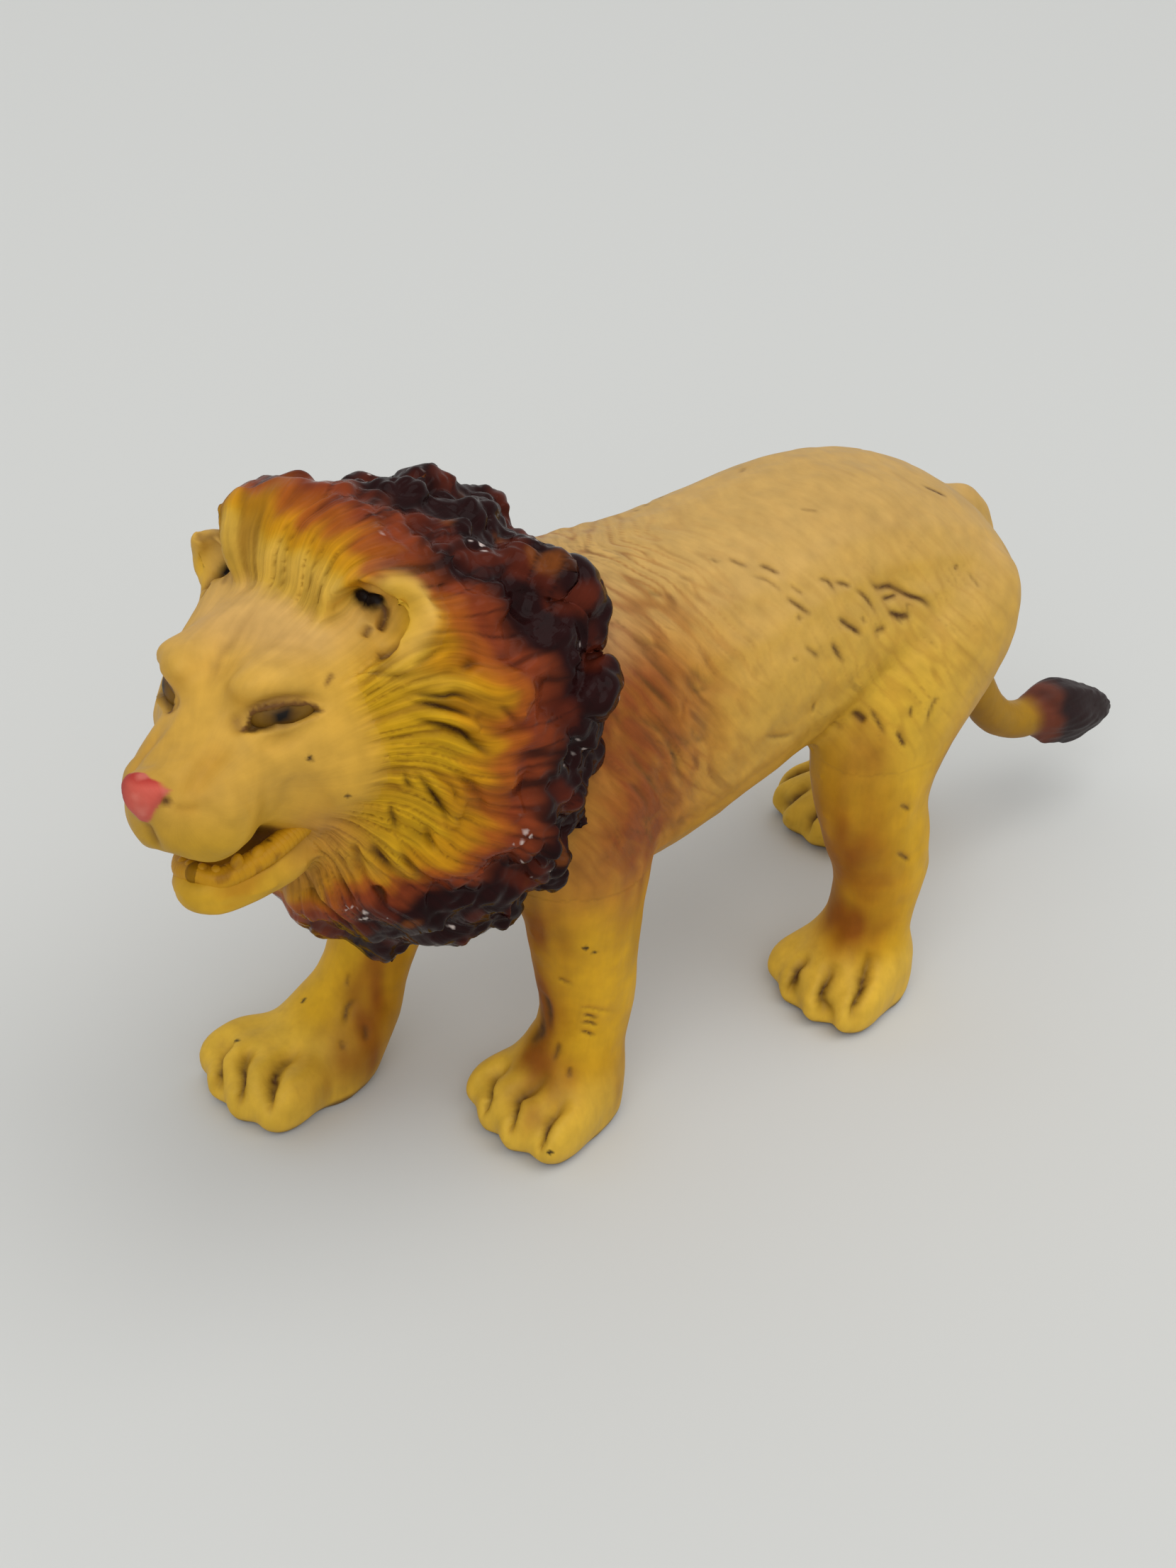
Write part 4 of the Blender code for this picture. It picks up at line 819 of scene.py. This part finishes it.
# The eye's opening along its length from the inner corner: lower and upper lid
EYE_CORNERS = ((4.9, -16.9, 0.7), (10.1, -11.0, 2.2))
EYE_LIDS = [
    (0.0, -0.1, 0.1), (0.1, -0.4, 1.35), (0.3, -0.35, 1.75), (0.55, -0.3, 1.7), (0.8, -0.15, 1.15),
    (1.0, 0.1, 0.3),
]
EYE_SIZES = (3.5, 1.9, 2.0)
EYE_RISE = 0.75
EYE_STANDS_OUT = 0.4
PUPIL = (7.7, -14.6, 2.2)
PUPIL_RADIUS = 0.78
FACE_DOTS = [(9.6, -12.6, -2.3), (11.9, -9.2, -6.6)]

# The lower teeth: the gum's line, then each tooth's middle and half sizes
GUM_SIZES = (1.35, 1.15, 1.2)
GUM_LINE = [
    (0.0, -18.2, -15.0), (2.4, -17.2, -15.2), (4.3, -13.2, -13.7), (5.5, -9.4, -11.7), (6.1, -7.6, -10.4),
]
TEETH = [
    ((0.75, -18.2, -14.5), (0.7, 0.6, 0.8)),
    ((2.05, -17.7, -14.6), (0.66, 0.6, 0.85)),
    ((3.4, -16.0, -14.2), (0.75, 0.85, 1.5)),
    ((4.3, -13.6, -13.3), (0.8, 1.2, 1.0)),
]


def vertex_share(skin, number):
    """1 where a point lies on that CAD node, softly 0 elsewhere."""
    share = np.zeros(len(skin.points))
    np.add.at(share, skin.faces.ravel(), np.repeat(skin.label == number, 4) / 4.0)
    return skin.blurred(share, 8)


mane_share = vertex_share(crown, HEAD_NODES.index("mane"))
jaw_share = vertex_share(crown, HEAD_NODES.index("lower_jaw"))
rest = crown.points.copy()
ruff = to_local(rest, MANE_PLACE, MANE_AXES)
rear = eased(ruff[:, 1], 0.0, 12.0)
wide_share = crown.blurred(mane_share, 150)
crown.relax(14, weight=(mane_share * (1.0 - 0.45 * rear))[:, None])
crown.relax(34, weight=(mane_share * (1.0 - rear))[:, None])
seam = eased(wide_share, 0.05, 0.4) * eased(wide_share, 0.95, 0.7) * (1.0 - rear)
crown.relax(30, weight=seam[:, None])
crown.relax(6, weight=(1.0 - mane_share)[:, None])
face = to_local(crown.points, HEAD_PLACE, HEAD_AXES)
for hand, times in ((LEFT, 60), (RIGHT, 20)):
    gap = gap_to(face * hand, EAR_MIDDLE, (5.0, 5.0, 5.5))
    crown.relax(times, weight=eased(gap, 1.15, 0.7)[:, None])

face = to_local(crown.points, HEAD_PLACE, HEAD_AXES)
raw_face = face.copy()
head_part = 1.0 - jaw_share
for hand in (LEFT, RIGHT):
    for place, reach, shift in FACE_PULLS:
        if place[0] > 0.0 or hand is LEFT:
            near = pulled(raw_face * hand, place, reach) * head_part
            face += near[:, None] * np.array(shift) * hand
place, reach, shift = RIGHT_EAR_PULL
face += pulled(raw_face, place, reach)[:, None] * np.array(shift)
crown.points = to_world(face, HEAD_PLACE, HEAD_AXES)
crown.normals = crown.fresh_normals()

relief, wash, amber, socket, ear_hole, nose, nostril = np.zeros((7, len(face)))
start, end = (np.array(corner) for corner in EYE_CORNERS)
eye_length = np.linalg.norm(end - start)
eye_flow = (end - start) / eye_length
eye_up = np.array([0.0, 0.0, 1.0]) - eye_flow * eye_flow[2]
eye_up /= np.linalg.norm(eye_up)
eye_out = np.cross(eye_flow, eye_up)
eye_out *= np.sign(eye_out @ np.array([0.5, -1.0, 0.0]))
lid_along, lid_low, lid_high = np.array(EYE_LIDS).T
pad_down, pad_wide = np.array(NOSE_PAD).T * [[-1.0], [1.0]]
for hand in (LEFT, RIGHT):
    surface = face * hand
    share = (surface - start) @ eye_flow / eye_length
    rise = (surface - start) @ eye_up
    outward = (surface - start) @ eye_out
    low = np.interp(share, lid_along, lid_low)
    high = np.interp(share, lid_along, lid_high)
    inside = np.minimum(rise - low, high - rise) * (np.abs(outward) < 3.5) * (share > 0) * (share < 1)
    socket = np.maximum(socket, eased(inside, 0.02, 0.3))
    on_lid = (np.abs(outward) < 3.5) * (share > -0.05) * (share < 0.95)
    wash = np.maximum(wash, 0.85 * on_lid * eased(np.abs(rise - high - 0.1), 0.4, 0.12))
    for field, rows in ((relief, FACE_RELIEF), (wash, FACE_WASHES + EAR_LINES), (amber, FACE_AMBERS)):
        for width, amount, line in rows:
            traced(surface, line, (field, width, amount))
    pad = np.interp(-surface[:, 2], pad_down, pad_wide, left=-1.0, right=-1.0)
    nose = np.maximum(nose, eased(pad - np.abs(surface[:, 0]), -0.15, 0.25) * (surface[:, 1] < -22.0))
    spot(nostril, surface, (2.5, -26.0, -4.7), 0.62, 1.0)
    traced(surface, EAR_HOLE, (ear_hole, 0.85, 1.15, 0.0))
    spot(relief, surface, EAR_FILLED, 1.8, 0.9)
    traced(surface, EAR_RIM, (relief, 0.9, 1.0))
    spot(relief, surface, snapped(surface, [EAR_BOWL])[0], 1.6, -0.8)
    for deep, dark, line in EAR_FOLDS:
        traced(surface, line, (relief, 0.55, -deep, 0.2), (wash, 0.42, dark, 0.2))
for width, height, line in MIDDLE_RELIEF:
    traced(face, line, (relief, width, height))
    if height < 0.0:
        traced(face, line, (wash, 0.5, -height))
relief += 0.28 * crown.blurred(nose, 2) - 0.55 * nostril - 1.25 * socket - 1.3 * ear_hole
relief += (1.0 - mane_share) * (0.1 * noise(face, 4.5, 21) + 0.035 * noise(face, 1.3, 22))
crown.push(crown.blurred(relief, 1))

fuller = np.zeros(len(face))
for place, reach, height in MANE_FORMS:
    fuller += height * pulled(ruff, place, reach) * mane_share
crown.push(crown.blurred(fuller, 6))

# Hair: strands that run from the face over the ruff, gathered in locks, with glossy lumps at the rim
pole = MANE_AXES.T @ (HEAD_AXES @ np.array([0.0, -1.0, 0.0]))
around = np.cross(pole, [0.0, 0.0, 1.0])
around /= np.linalg.norm(around)
over = np.cross(around, pole)
ball = to_local(crown.points, MANE_PLACE, MANE_AXES) - np.array([0.0, 3.0, 0.5])
far = np.linalg.norm(ball, axis=1)
fall = np.arccos(np.clip(ball @ pole / far, -1.0, 1.0))
turn = np.arctan2(ball @ over, ball @ around)
warp = noise(rest, 8.0, 31)
turn = turn + 0.06 * warp + 0.11 * np.sin(4.0 * fall + 1.2 * noise(rest, 14.0, 30))
strand_place = np.stack([15.0 * np.cos(turn), 15.0 * np.sin(turn), 20.0 * fall], axis=1)


def combed(width, length, seed):
    """Rounded strands with sharp valleys between them."""
    return np.abs(noise(strand_place / np.array([width, width, length]), 1.0, seed)) ** 0.8


ends = np.interp(ruff[:, 2], YELLOW_HEIGHTS, YELLOW_ENDS)
depth = ruff[:, 1] - ends + 1.6 * warp + 3.6 * noise(strand_place / np.array([1.8, 1.8, 12.0]), 1.0, 43)
depth = depth + 5.0 * eased(-ruff[:, 2], 9.0, 16.0) * eased(ruff[:, 0], 6.0, 12.0)
beard = eased(-ruff[:, 2], 10.0, 16.0) * eased(ruff[:, 0], 8.0, 2.0) * eased(ruff[:, 1], 4.0, -4.0)
depth = depth - 4.0 * beard
ring = eased(ruff[:, 1] - ends + 2.0 * warp, 0.0, 6.0)
ring *= 1.0 - 0.75 * eased(-ruff[:, 2], 12.0, 17.0) * eased(4.0 - ruff[:, 1], 0.0, 6.0)
locks = combed(3.4, 16.0, 32)
strands = combed(1.3, 20.0, 33)
curls = np.abs(noise(rest + 1.5 * warp[:, None], 5.2, 35)) ** 0.8
lumpy = 1.7 * (curls - 0.35) + 0.8 * (locks - 0.35) + 0.8 * (np.abs(noise(rest, 2.2, 36)) - 0.3)
hair_relief = (1.0 - ring) * (0.85 * (locks - 0.35) + 0.62 * (strands - 0.3)) + ring * lumpy
ear_gap = gap_to(folded(face), EAR_AREA, (4.0, 3.8, 4.3))
hair_edge = eased(wide_share, 0.03, 0.55) * eased(ear_gap, 0.75, 1.25)
grooves, lock_wash = np.zeros((2, len(face)))
ruff = to_local(crown.points, MANE_PLACE, MANE_AXES)
for hand in (LEFT, RIGHT):
    for width, deep, dark, line in LOCK_GROOVES:
        walls = (grooves, 2.6 * width, -0.25 * deep)
        traced(ruff * hand, line, (grooves, width, deep), walls, (lock_wash, 0.65 * width, dark, 0.5))
crown.push(hair_edge * hair_relief - grooves)

# Paint of the face
hair = eased(wide_share + 0.25 * (locks - 0.35), 0.12, 0.72)
x, y, z = face.T
paint = mixed(
    np.tile([0.53, 0.3, 0.045], (len(face), 1)),
    ((0.56, 0.335, 0.085), eased(z, 4.0, 12.0) * (y < 0)),
    ((0.53, 0.3, 0.018), eased(z, -4.0, -12.0)),
)
paint *= (1.0 - 0.13 * eased(-y, 17.0, 22.0))[:, None]
paint = mixed(
    paint,
    ((0.5, 0.27, 0.02), 0.6 * hill(y, -6.0, 5.0) * eased(np.abs(x), 7.0, 11.0)),
    ((0.43, 0.215, 0.02), amber),
    ((0.46, 0.27, 0.12), 0.35 * hill(y, -11.0, 5.0) * eased(z, 6.0, 9.0)),
)
paint *= (1.0 + 0.07 * noise(face, 5.0, 41) + 0.05 * noise(face, 1.6, 42))[:, None]
hollow = eased(crown.blurred(relief, 8) - relief, 0.05, 0.3) * (1.0 - socket)
pad_edge = np.clip(eased(z, -3.4, -2.6) + eased(np.abs(x), 2.2, 2.8), 0.0, 1.0)
mouth = eased(y, -19.5, -17.0) * eased(z, -9.8, -11.0) * eased(5.6 - np.abs(x), 0.0, 1.2) * (y < -7.0)
mouth *= 1.0 - np.clip(mane_share * 2.0, 0.0, 1.0)
facing_up = crown.normals @ (HEAD_AXES @ [0.0, 0.0, 1.0])
paint = mixed(
    paint,
    ((0.26, 0.11, 0.014), 0.5 * hollow),
    ((0.13, 0.055, 0.012), wash),
    ((0.5, 0.085, 0.06), nose),
    ((0.36, 0.03, 0.022), nose * pad_edge),
    # painted shade on the right half of the nose pad
    ((0.3, 0.02, 0.016), 0.7 * nose * eased(-x, 0.3, 1.8)),
    ((0.62, 0.2, 0.15), 0.5 * nose * eased(noise(face, 1.4, 53), 0.1, 0.7)),
    ((0.05, 0.012, 0.008), np.clip(1.2 * nostril - 0.25, 0.0, 1.0)),
    ((0.07, 0.03, 0.008), 0.9 * socket),
    ((0.42, 0.2, 0.01), mouth * eased(facing_up, -0.6, 0.2)),
    # painted shade deep at the back of the mouth
    ((0.1, 0.035, 0.006), mouth * eased(y, -15.0, -10.0)),
)

# Paint of the mane: yellow at the face, then amber, rust and a dark glossy rim
low = -ruff[:, 2]
rusty = eased(noise(rest, 5.0, 44), 0.05, 0.45) * eased(depth, 4.0, 8.0)
amber_curls = eased(noise(rest, 4.2, 48), 0.45, 0.75) * eased(depth, 8.0, 12.0)
valley = np.clip(eased(0.26 - locks, 0.0, 0.22) * 0.35 + eased(0.24 - strands, 0.0, 0.22) * 0.75, 0.0, 1.0)
coat = mixed(
    np.tile([0.48, 0.262, 0.008], (len(face), 1)),
    ((0.54, 0.32, 0.045), eased(ruff[:, 2], 8.0, 18.0) * eased(-depth, 2.0, 7.0)),
    ((0.46, 0.205, 0.006), eased(depth, -5.5, -2.0)),
    ((0.3, 0.075, 0.009), eased(depth, -2.0, 0.8)),
    ((0.185, 0.034, 0.01), eased(depth, 0.8, 3.2)),
    ((0.016, 0.004, 0.004), eased(depth, 4.2, 8.5)),
    ((0.085, 0.014, 0.006), 0.85 * rusty),
    ((0.2, 0.055, 0.01), 0.7 * amber_curls),
    ((0.36, 0.155, 0.03), 0.8 * eased(low, 8.0, 14.0) * eased(-depth, 0.0, 5.0)),
    ((0.2, 0.085, 0.006), 0.75 * valley * eased(2.0 - depth, 0.0, 4.0)),
    ((0.01, 0.004, 0.004), 0.8 * valley * eased(depth, 0.0, 4.0)),
)
coat *= (1.0 + 0.1 * noise(rest, 3.0, 45))[:, None]
# Pale flecks on the dark rim: paint chips and painted highlight glints
chips_and_glints = eased(noise(rest, 0.7, 46) + 0.6 * noise(rest, 5.0, 47), 0.86, 0.94) * eased(depth, 1.0, 5.0)
coat = mixed(
    coat,
    ((0.04, 0.014, 0.003), np.clip(1.15 * lock_wash, 0.0, 0.97)),
    ((0.62, 0.52, 0.48), 0.85 * chips_and_glints),
)
hair *= eased(ear_gap, 0.8, 1.2)
paint = paint + hair[:, None] * (coat - paint)

# Yellow in the bowl of the ear, brown hair under the jaw, and painted shade, near black, in the ear holes
bowl = near_place(folded(face), EAR_BOWL, (2.4, 3.0, 3.0))
under_jaw = near_place(folded(face), (8.2, -8.2, -12.0), (4.0, 5.0, 4.5))
paint = mixed(
    paint,
    ((0.6, 0.35, 0.008), 0.8 * bowl * (1.0 - np.clip(wash, 0.0, 1.0))),
    ((0.37, 0.16, 0.046), 0.65 * under_jaw),
    ((0.01, 0.005, 0.003), np.clip(2.2 * ear_hole - 0.5, 0.0, 1.0)),
)
for place in FACE_DOTS:
    gap = gap_to(face, snapped(face, [place])[0])
    paint = mixed(paint, ((0.05, 0.025, 0.008), eased(gap, 0.4, 0.18)))
crown.paint = {
    "paint": np.clip(paint, 0.0, 1.0),
    "comb": strand_place / np.array([0.55, 0.55, 6.0]),
    "comb_amount": (0.1 + 0.15 * eased(z, 3.0, 8.0) + 0.75 * hair_edge * (1.0 - 0.75 * ring))[:, None],
    "gloss": (hair * eased(depth, -2.0, 4.0))[:, None],
}

# The ears and the hair right at their roots belong to the head
middles = face[crown.faces].mean(axis=1)
for hand in (LEFT, RIGHT):
    crown.label[gap_to(middles * hand, EAR_MIDDLE) < EAR_REACH] = HEAD_NODES.index("head")


# Materials


def node_material(name):
    material = bpy.data.materials.new(name)
    material.use_nodes = True
    return material, material.node_tree.nodes, material.node_tree.links


def painted_plastic(name, grain_depth, comb_depth, rough, smooth, shine, index):
    """Hand-painted soft plastic: brushed colour, combed strokes, a fine grain and an uneven gloss."""
    material, nodes, links = node_material(name)
    shader = nodes["Principled BSDF"]

    def attribute(key, output):
        node = nodes.new("ShaderNodeAttribute")
        node.attribute_name = key
        return node.outputs[output]

    def noise_value(place, scale, detail):
        node = nodes.new("ShaderNodeTexNoise")
        node.inputs["Scale"].default_value = scale
        node.inputs["Detail"].default_value = detail
        links.new(place, node.inputs["Vector"])
        return node.outputs["Fac"]

    def ranged(value, low, high, from_low=0.3, from_high=0.7):
        node = nodes.new("ShaderNodeMapRange")
        limits = {"From Min": from_low, "From Max": from_high, "To Min": low, "To Max": high}
        for key, number in limits.items():
            node.inputs[key].default_value = number
        links.new(value, node.inputs["Value"])
        return node.outputs["Result"]

    def combined(operation, first, second):
        node = nodes.new("ShaderNodeMath")
        node.operation = operation
        links.new(first, node.inputs[0])
        links.new(second, node.inputs[1])
        return node.outputs["Value"]

    place = nodes.new("ShaderNodeTexCoord").outputs["Object"]
    mottle = noise_value(place, 420.0, 5.0)
    strokes = noise_value(attribute("comb", "Vector"), 1.0, 2.0)
    amount = attribute("comb_amount", "Fac")
    drift = combined("MULTIPLY", ranged(strokes, -0.22, 0.16), amount)
    tint = nodes.new("ShaderNodeVectorMath")
    tint.operation = "SCALE"
    links.new(attribute("paint", "Color"), tint.inputs[0])
    links.new(combined("ADD", ranged(mottle, 0.92, 1.08), drift), tint.inputs["Scale"])
    links.new(tint.outputs["Vector"], shader.inputs["Base Color"])
    gloss = ranged(attribute("gloss", "Fac"), rough, smooth, 0.0, 1.0)
    links.new(combined("ADD", gloss, ranged(mottle, -0.06, 0.06)), shader.inputs["Roughness"])
    normal = None
    for height, depth in (
        (noise_value(place, 1000.0, 3.0), grain_depth),
        (combined("MULTIPLY", strokes, amount), comb_depth),
    ):
        bump = nodes.new("ShaderNodeBump")
        bump.inputs["Distance"].default_value = depth * MM
        links.new(height, bump.inputs["Height"])
        if normal:
            links.new(normal, bump.inputs["Normal"])
        normal = bump.outputs["Normal"]
    links.new(normal, shader.inputs["Normal"])
    shader.inputs["Specular IOR Level"].default_value = shine
    shader.inputs["IOR"].default_value = index
    return material


satin = painted_plastic(
    "satin paint", grain_depth=0.035, comb_depth=0.16, rough=0.5, smooth=0.3, shine=0.16, index=1.45
)
glossy = painted_plastic(
    "gloss paint", grain_depth=0.03, comb_depth=0.3, rough=0.46, smooth=0.18, shine=0.14, index=1.28
)

# How far below its cut edge each piece is closed
SINKS = {"head": 15.0, "mane": 15.0}
COMMON_SINK = 1.5
for skin, names in ((body, BODY_NODES), (crown, HEAD_NODES)):
    for k, name in enumerate(names):
        piece = moulding(name + "_skin", skin, np.flatnonzero(skin.label == k), SINKS.get(name, COMMON_SINK))
        piece.data.materials.append(glossy if name == "mane" else satin)
        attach(piece, "root")
        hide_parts(name)

# Eyes and teeth, closed pieces of their own in front of the hollows


def lumps(name, parts):
    """Closed rounded lumps in one piece: middle, axes and half sizes in head terms, in mm."""
    bm = bmesh.new()
    for middle, axes, sizes in parts:
        made = bmesh.ops.create_icosphere(bm, subdivisions=3, radius=1.0)["verts"]
        for vert in made:
            place = np.array(middle) + np.array(axes) @ (np.array(vert.co) * sizes)
            vert.co = (to_world(place[None], HEAD_PLACE, HEAD_AXES)[0] + FIGURE_SHIFT) * MM
    mesh = bpy.data.meshes.new(name)
    bm.to_mesh(mesh)
    bm.free()
    mesh.polygons.foreach_set("use_smooth", [True] * len(mesh.polygons))
    mesh.materials.append(satin)
    return placed(name, mesh)


def painted(item, colors, gloss):
    """Stores a colour for each point, and one gloss."""
    stored(item.data, "paint", np.clip(colors, 0.0, 1.0))
    stored(item.data, "gloss", np.full((len(colors), 1), gloss))


def head_places(item):
    """The points of a piece in terms of the head."""
    return to_local(mesh_points(item.data), HEAD_PLACE, HEAD_AXES)


eye_axes = np.stack([eye_flow, eye_up, eye_out], axis=1)
eye_middle = (start + end) / 2.0 + EYE_RISE * eye_up + (EYE_STANDS_OUT - EYE_SIZES[2]) * eye_out
pupil = np.array(PUPIL)
for side, hand in (("left", LEFT), ("right", RIGHT)):
    eye = lumps(side + "_eye", [(eye_middle * hand, hand[:, None] * eye_axes, EYE_SIZES)])
    gap = np.linalg.norm(np.cross(head_places(eye) * hand - pupil, eye_out), axis=1)
    colors = mixed(
        np.tile([0.085, 0.038, 0.004], (len(gap), 1)),
        ((0.15, 0.075, 0.008), eased(gap, 1.0, 1.9)),
        ((0.006, 0.004, 0.003), eased(gap, PUPIL_RADIUS, 0.6)),
    )
    painted(eye, colors, 0.1)
    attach(eye, "root")
    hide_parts("head")

square = np.eye(3)
rows = []
for hand in (LEFT, RIGHT):
    for place in rounded(GUM_LINE, 8):
        rows.append((place * hand, square, GUM_SIZES))
    for place, sizes in TEETH:
        rows.append((np.array(place) * hand, square, sizes))
teeth = lumps("lower_teeth", rows)
places = head_places(teeth)
colors = mixed(
    np.tile([0.46, 0.225, 0.007], (len(places), 1)),
    ((0.28, 0.12, 0.006), 0.8 * eased(noise(places, 1.3, 51), 0.15, 0.7)),
    ((0.05, 0.018, 0.004), eased(noise(places, 1.6, 52), 0.55, 0.8)),
)
painted(teeth, colors, 0.3)
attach(teeth, "root")
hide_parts("lower_jaw")

# Floor, light and camera

FLOOR_HALF = 2.1
floor_mesh = bpy.data.meshes.new("floor")
directions = ((-1, -1), (1, -1), (1, 1), (-1, 1))
corners = [(FLOOR_HALF * across, FLOOR_HALF * along, 0) for across, along in directions]
floor_mesh.from_pydata(corners, [], [(0, 1, 2, 3)])
floor = placed("floor", floor_mesh)
floor_paint, floor_nodes, _ = node_material("pale floor")
floor_shader = floor_nodes["Principled BSDF"].inputs
floor_shader["Base Color"].default_value = (0.565, 0.572, 0.556, 1.0)
floor_shader["Roughness"].default_value = 0.6
floor_shader["Specular IOR Level"].default_value = 0.2
floor_mesh.materials.append(floor_paint)


def lamp(name, place, size, power):
    """A round lamp that shines at the figure, with its place and size in metres."""
    light = bpy.data.lights.new(name, "AREA")
    light.shape = "DISK"
    light.size = size
    light.energy = power
    item = placed(name, light)
    item.location = place
    item.rotation_euler = (-Vector(place)).to_track_quat("-Z", "Y").to_euler()


lamp("ceiling", (0.5, 0.35, 2.0), size=1.8, power=13.5)
lamp("front fill", (1.08, -1.26, 1.5), size=1.8, power=16.0)

world = bpy.data.worlds.new("studio")
world.use_nodes = True
background = world.node_tree.nodes["Background"].inputs
background["Color"].default_value = (1.0, 1.0, 1.0, 1.0)
background["Strength"].default_value = 0.72
bpy.context.scene.world = world

camera = bpy.data.cameras.new("camera")
camera.lens = CAMERA_LENS
camera.sensor_width = CAMERA_SENSOR
view = placed("camera", camera)
look = Vector(CAMERA_LOOK).normalized()
right = look.cross(Vector(CAMERA_UP)).normalized()
place = Matrix.Translation(Vector((np.array(CAMERA_PLACE) + FIGURE_SHIFT) * MM))
view.matrix_world = place @ Matrix((right, right.cross(look), -look)).transposed().to_4x4()
bpy.context.scene.camera = view
bpy.context.scene.view_settings.view_transform = "Standard"
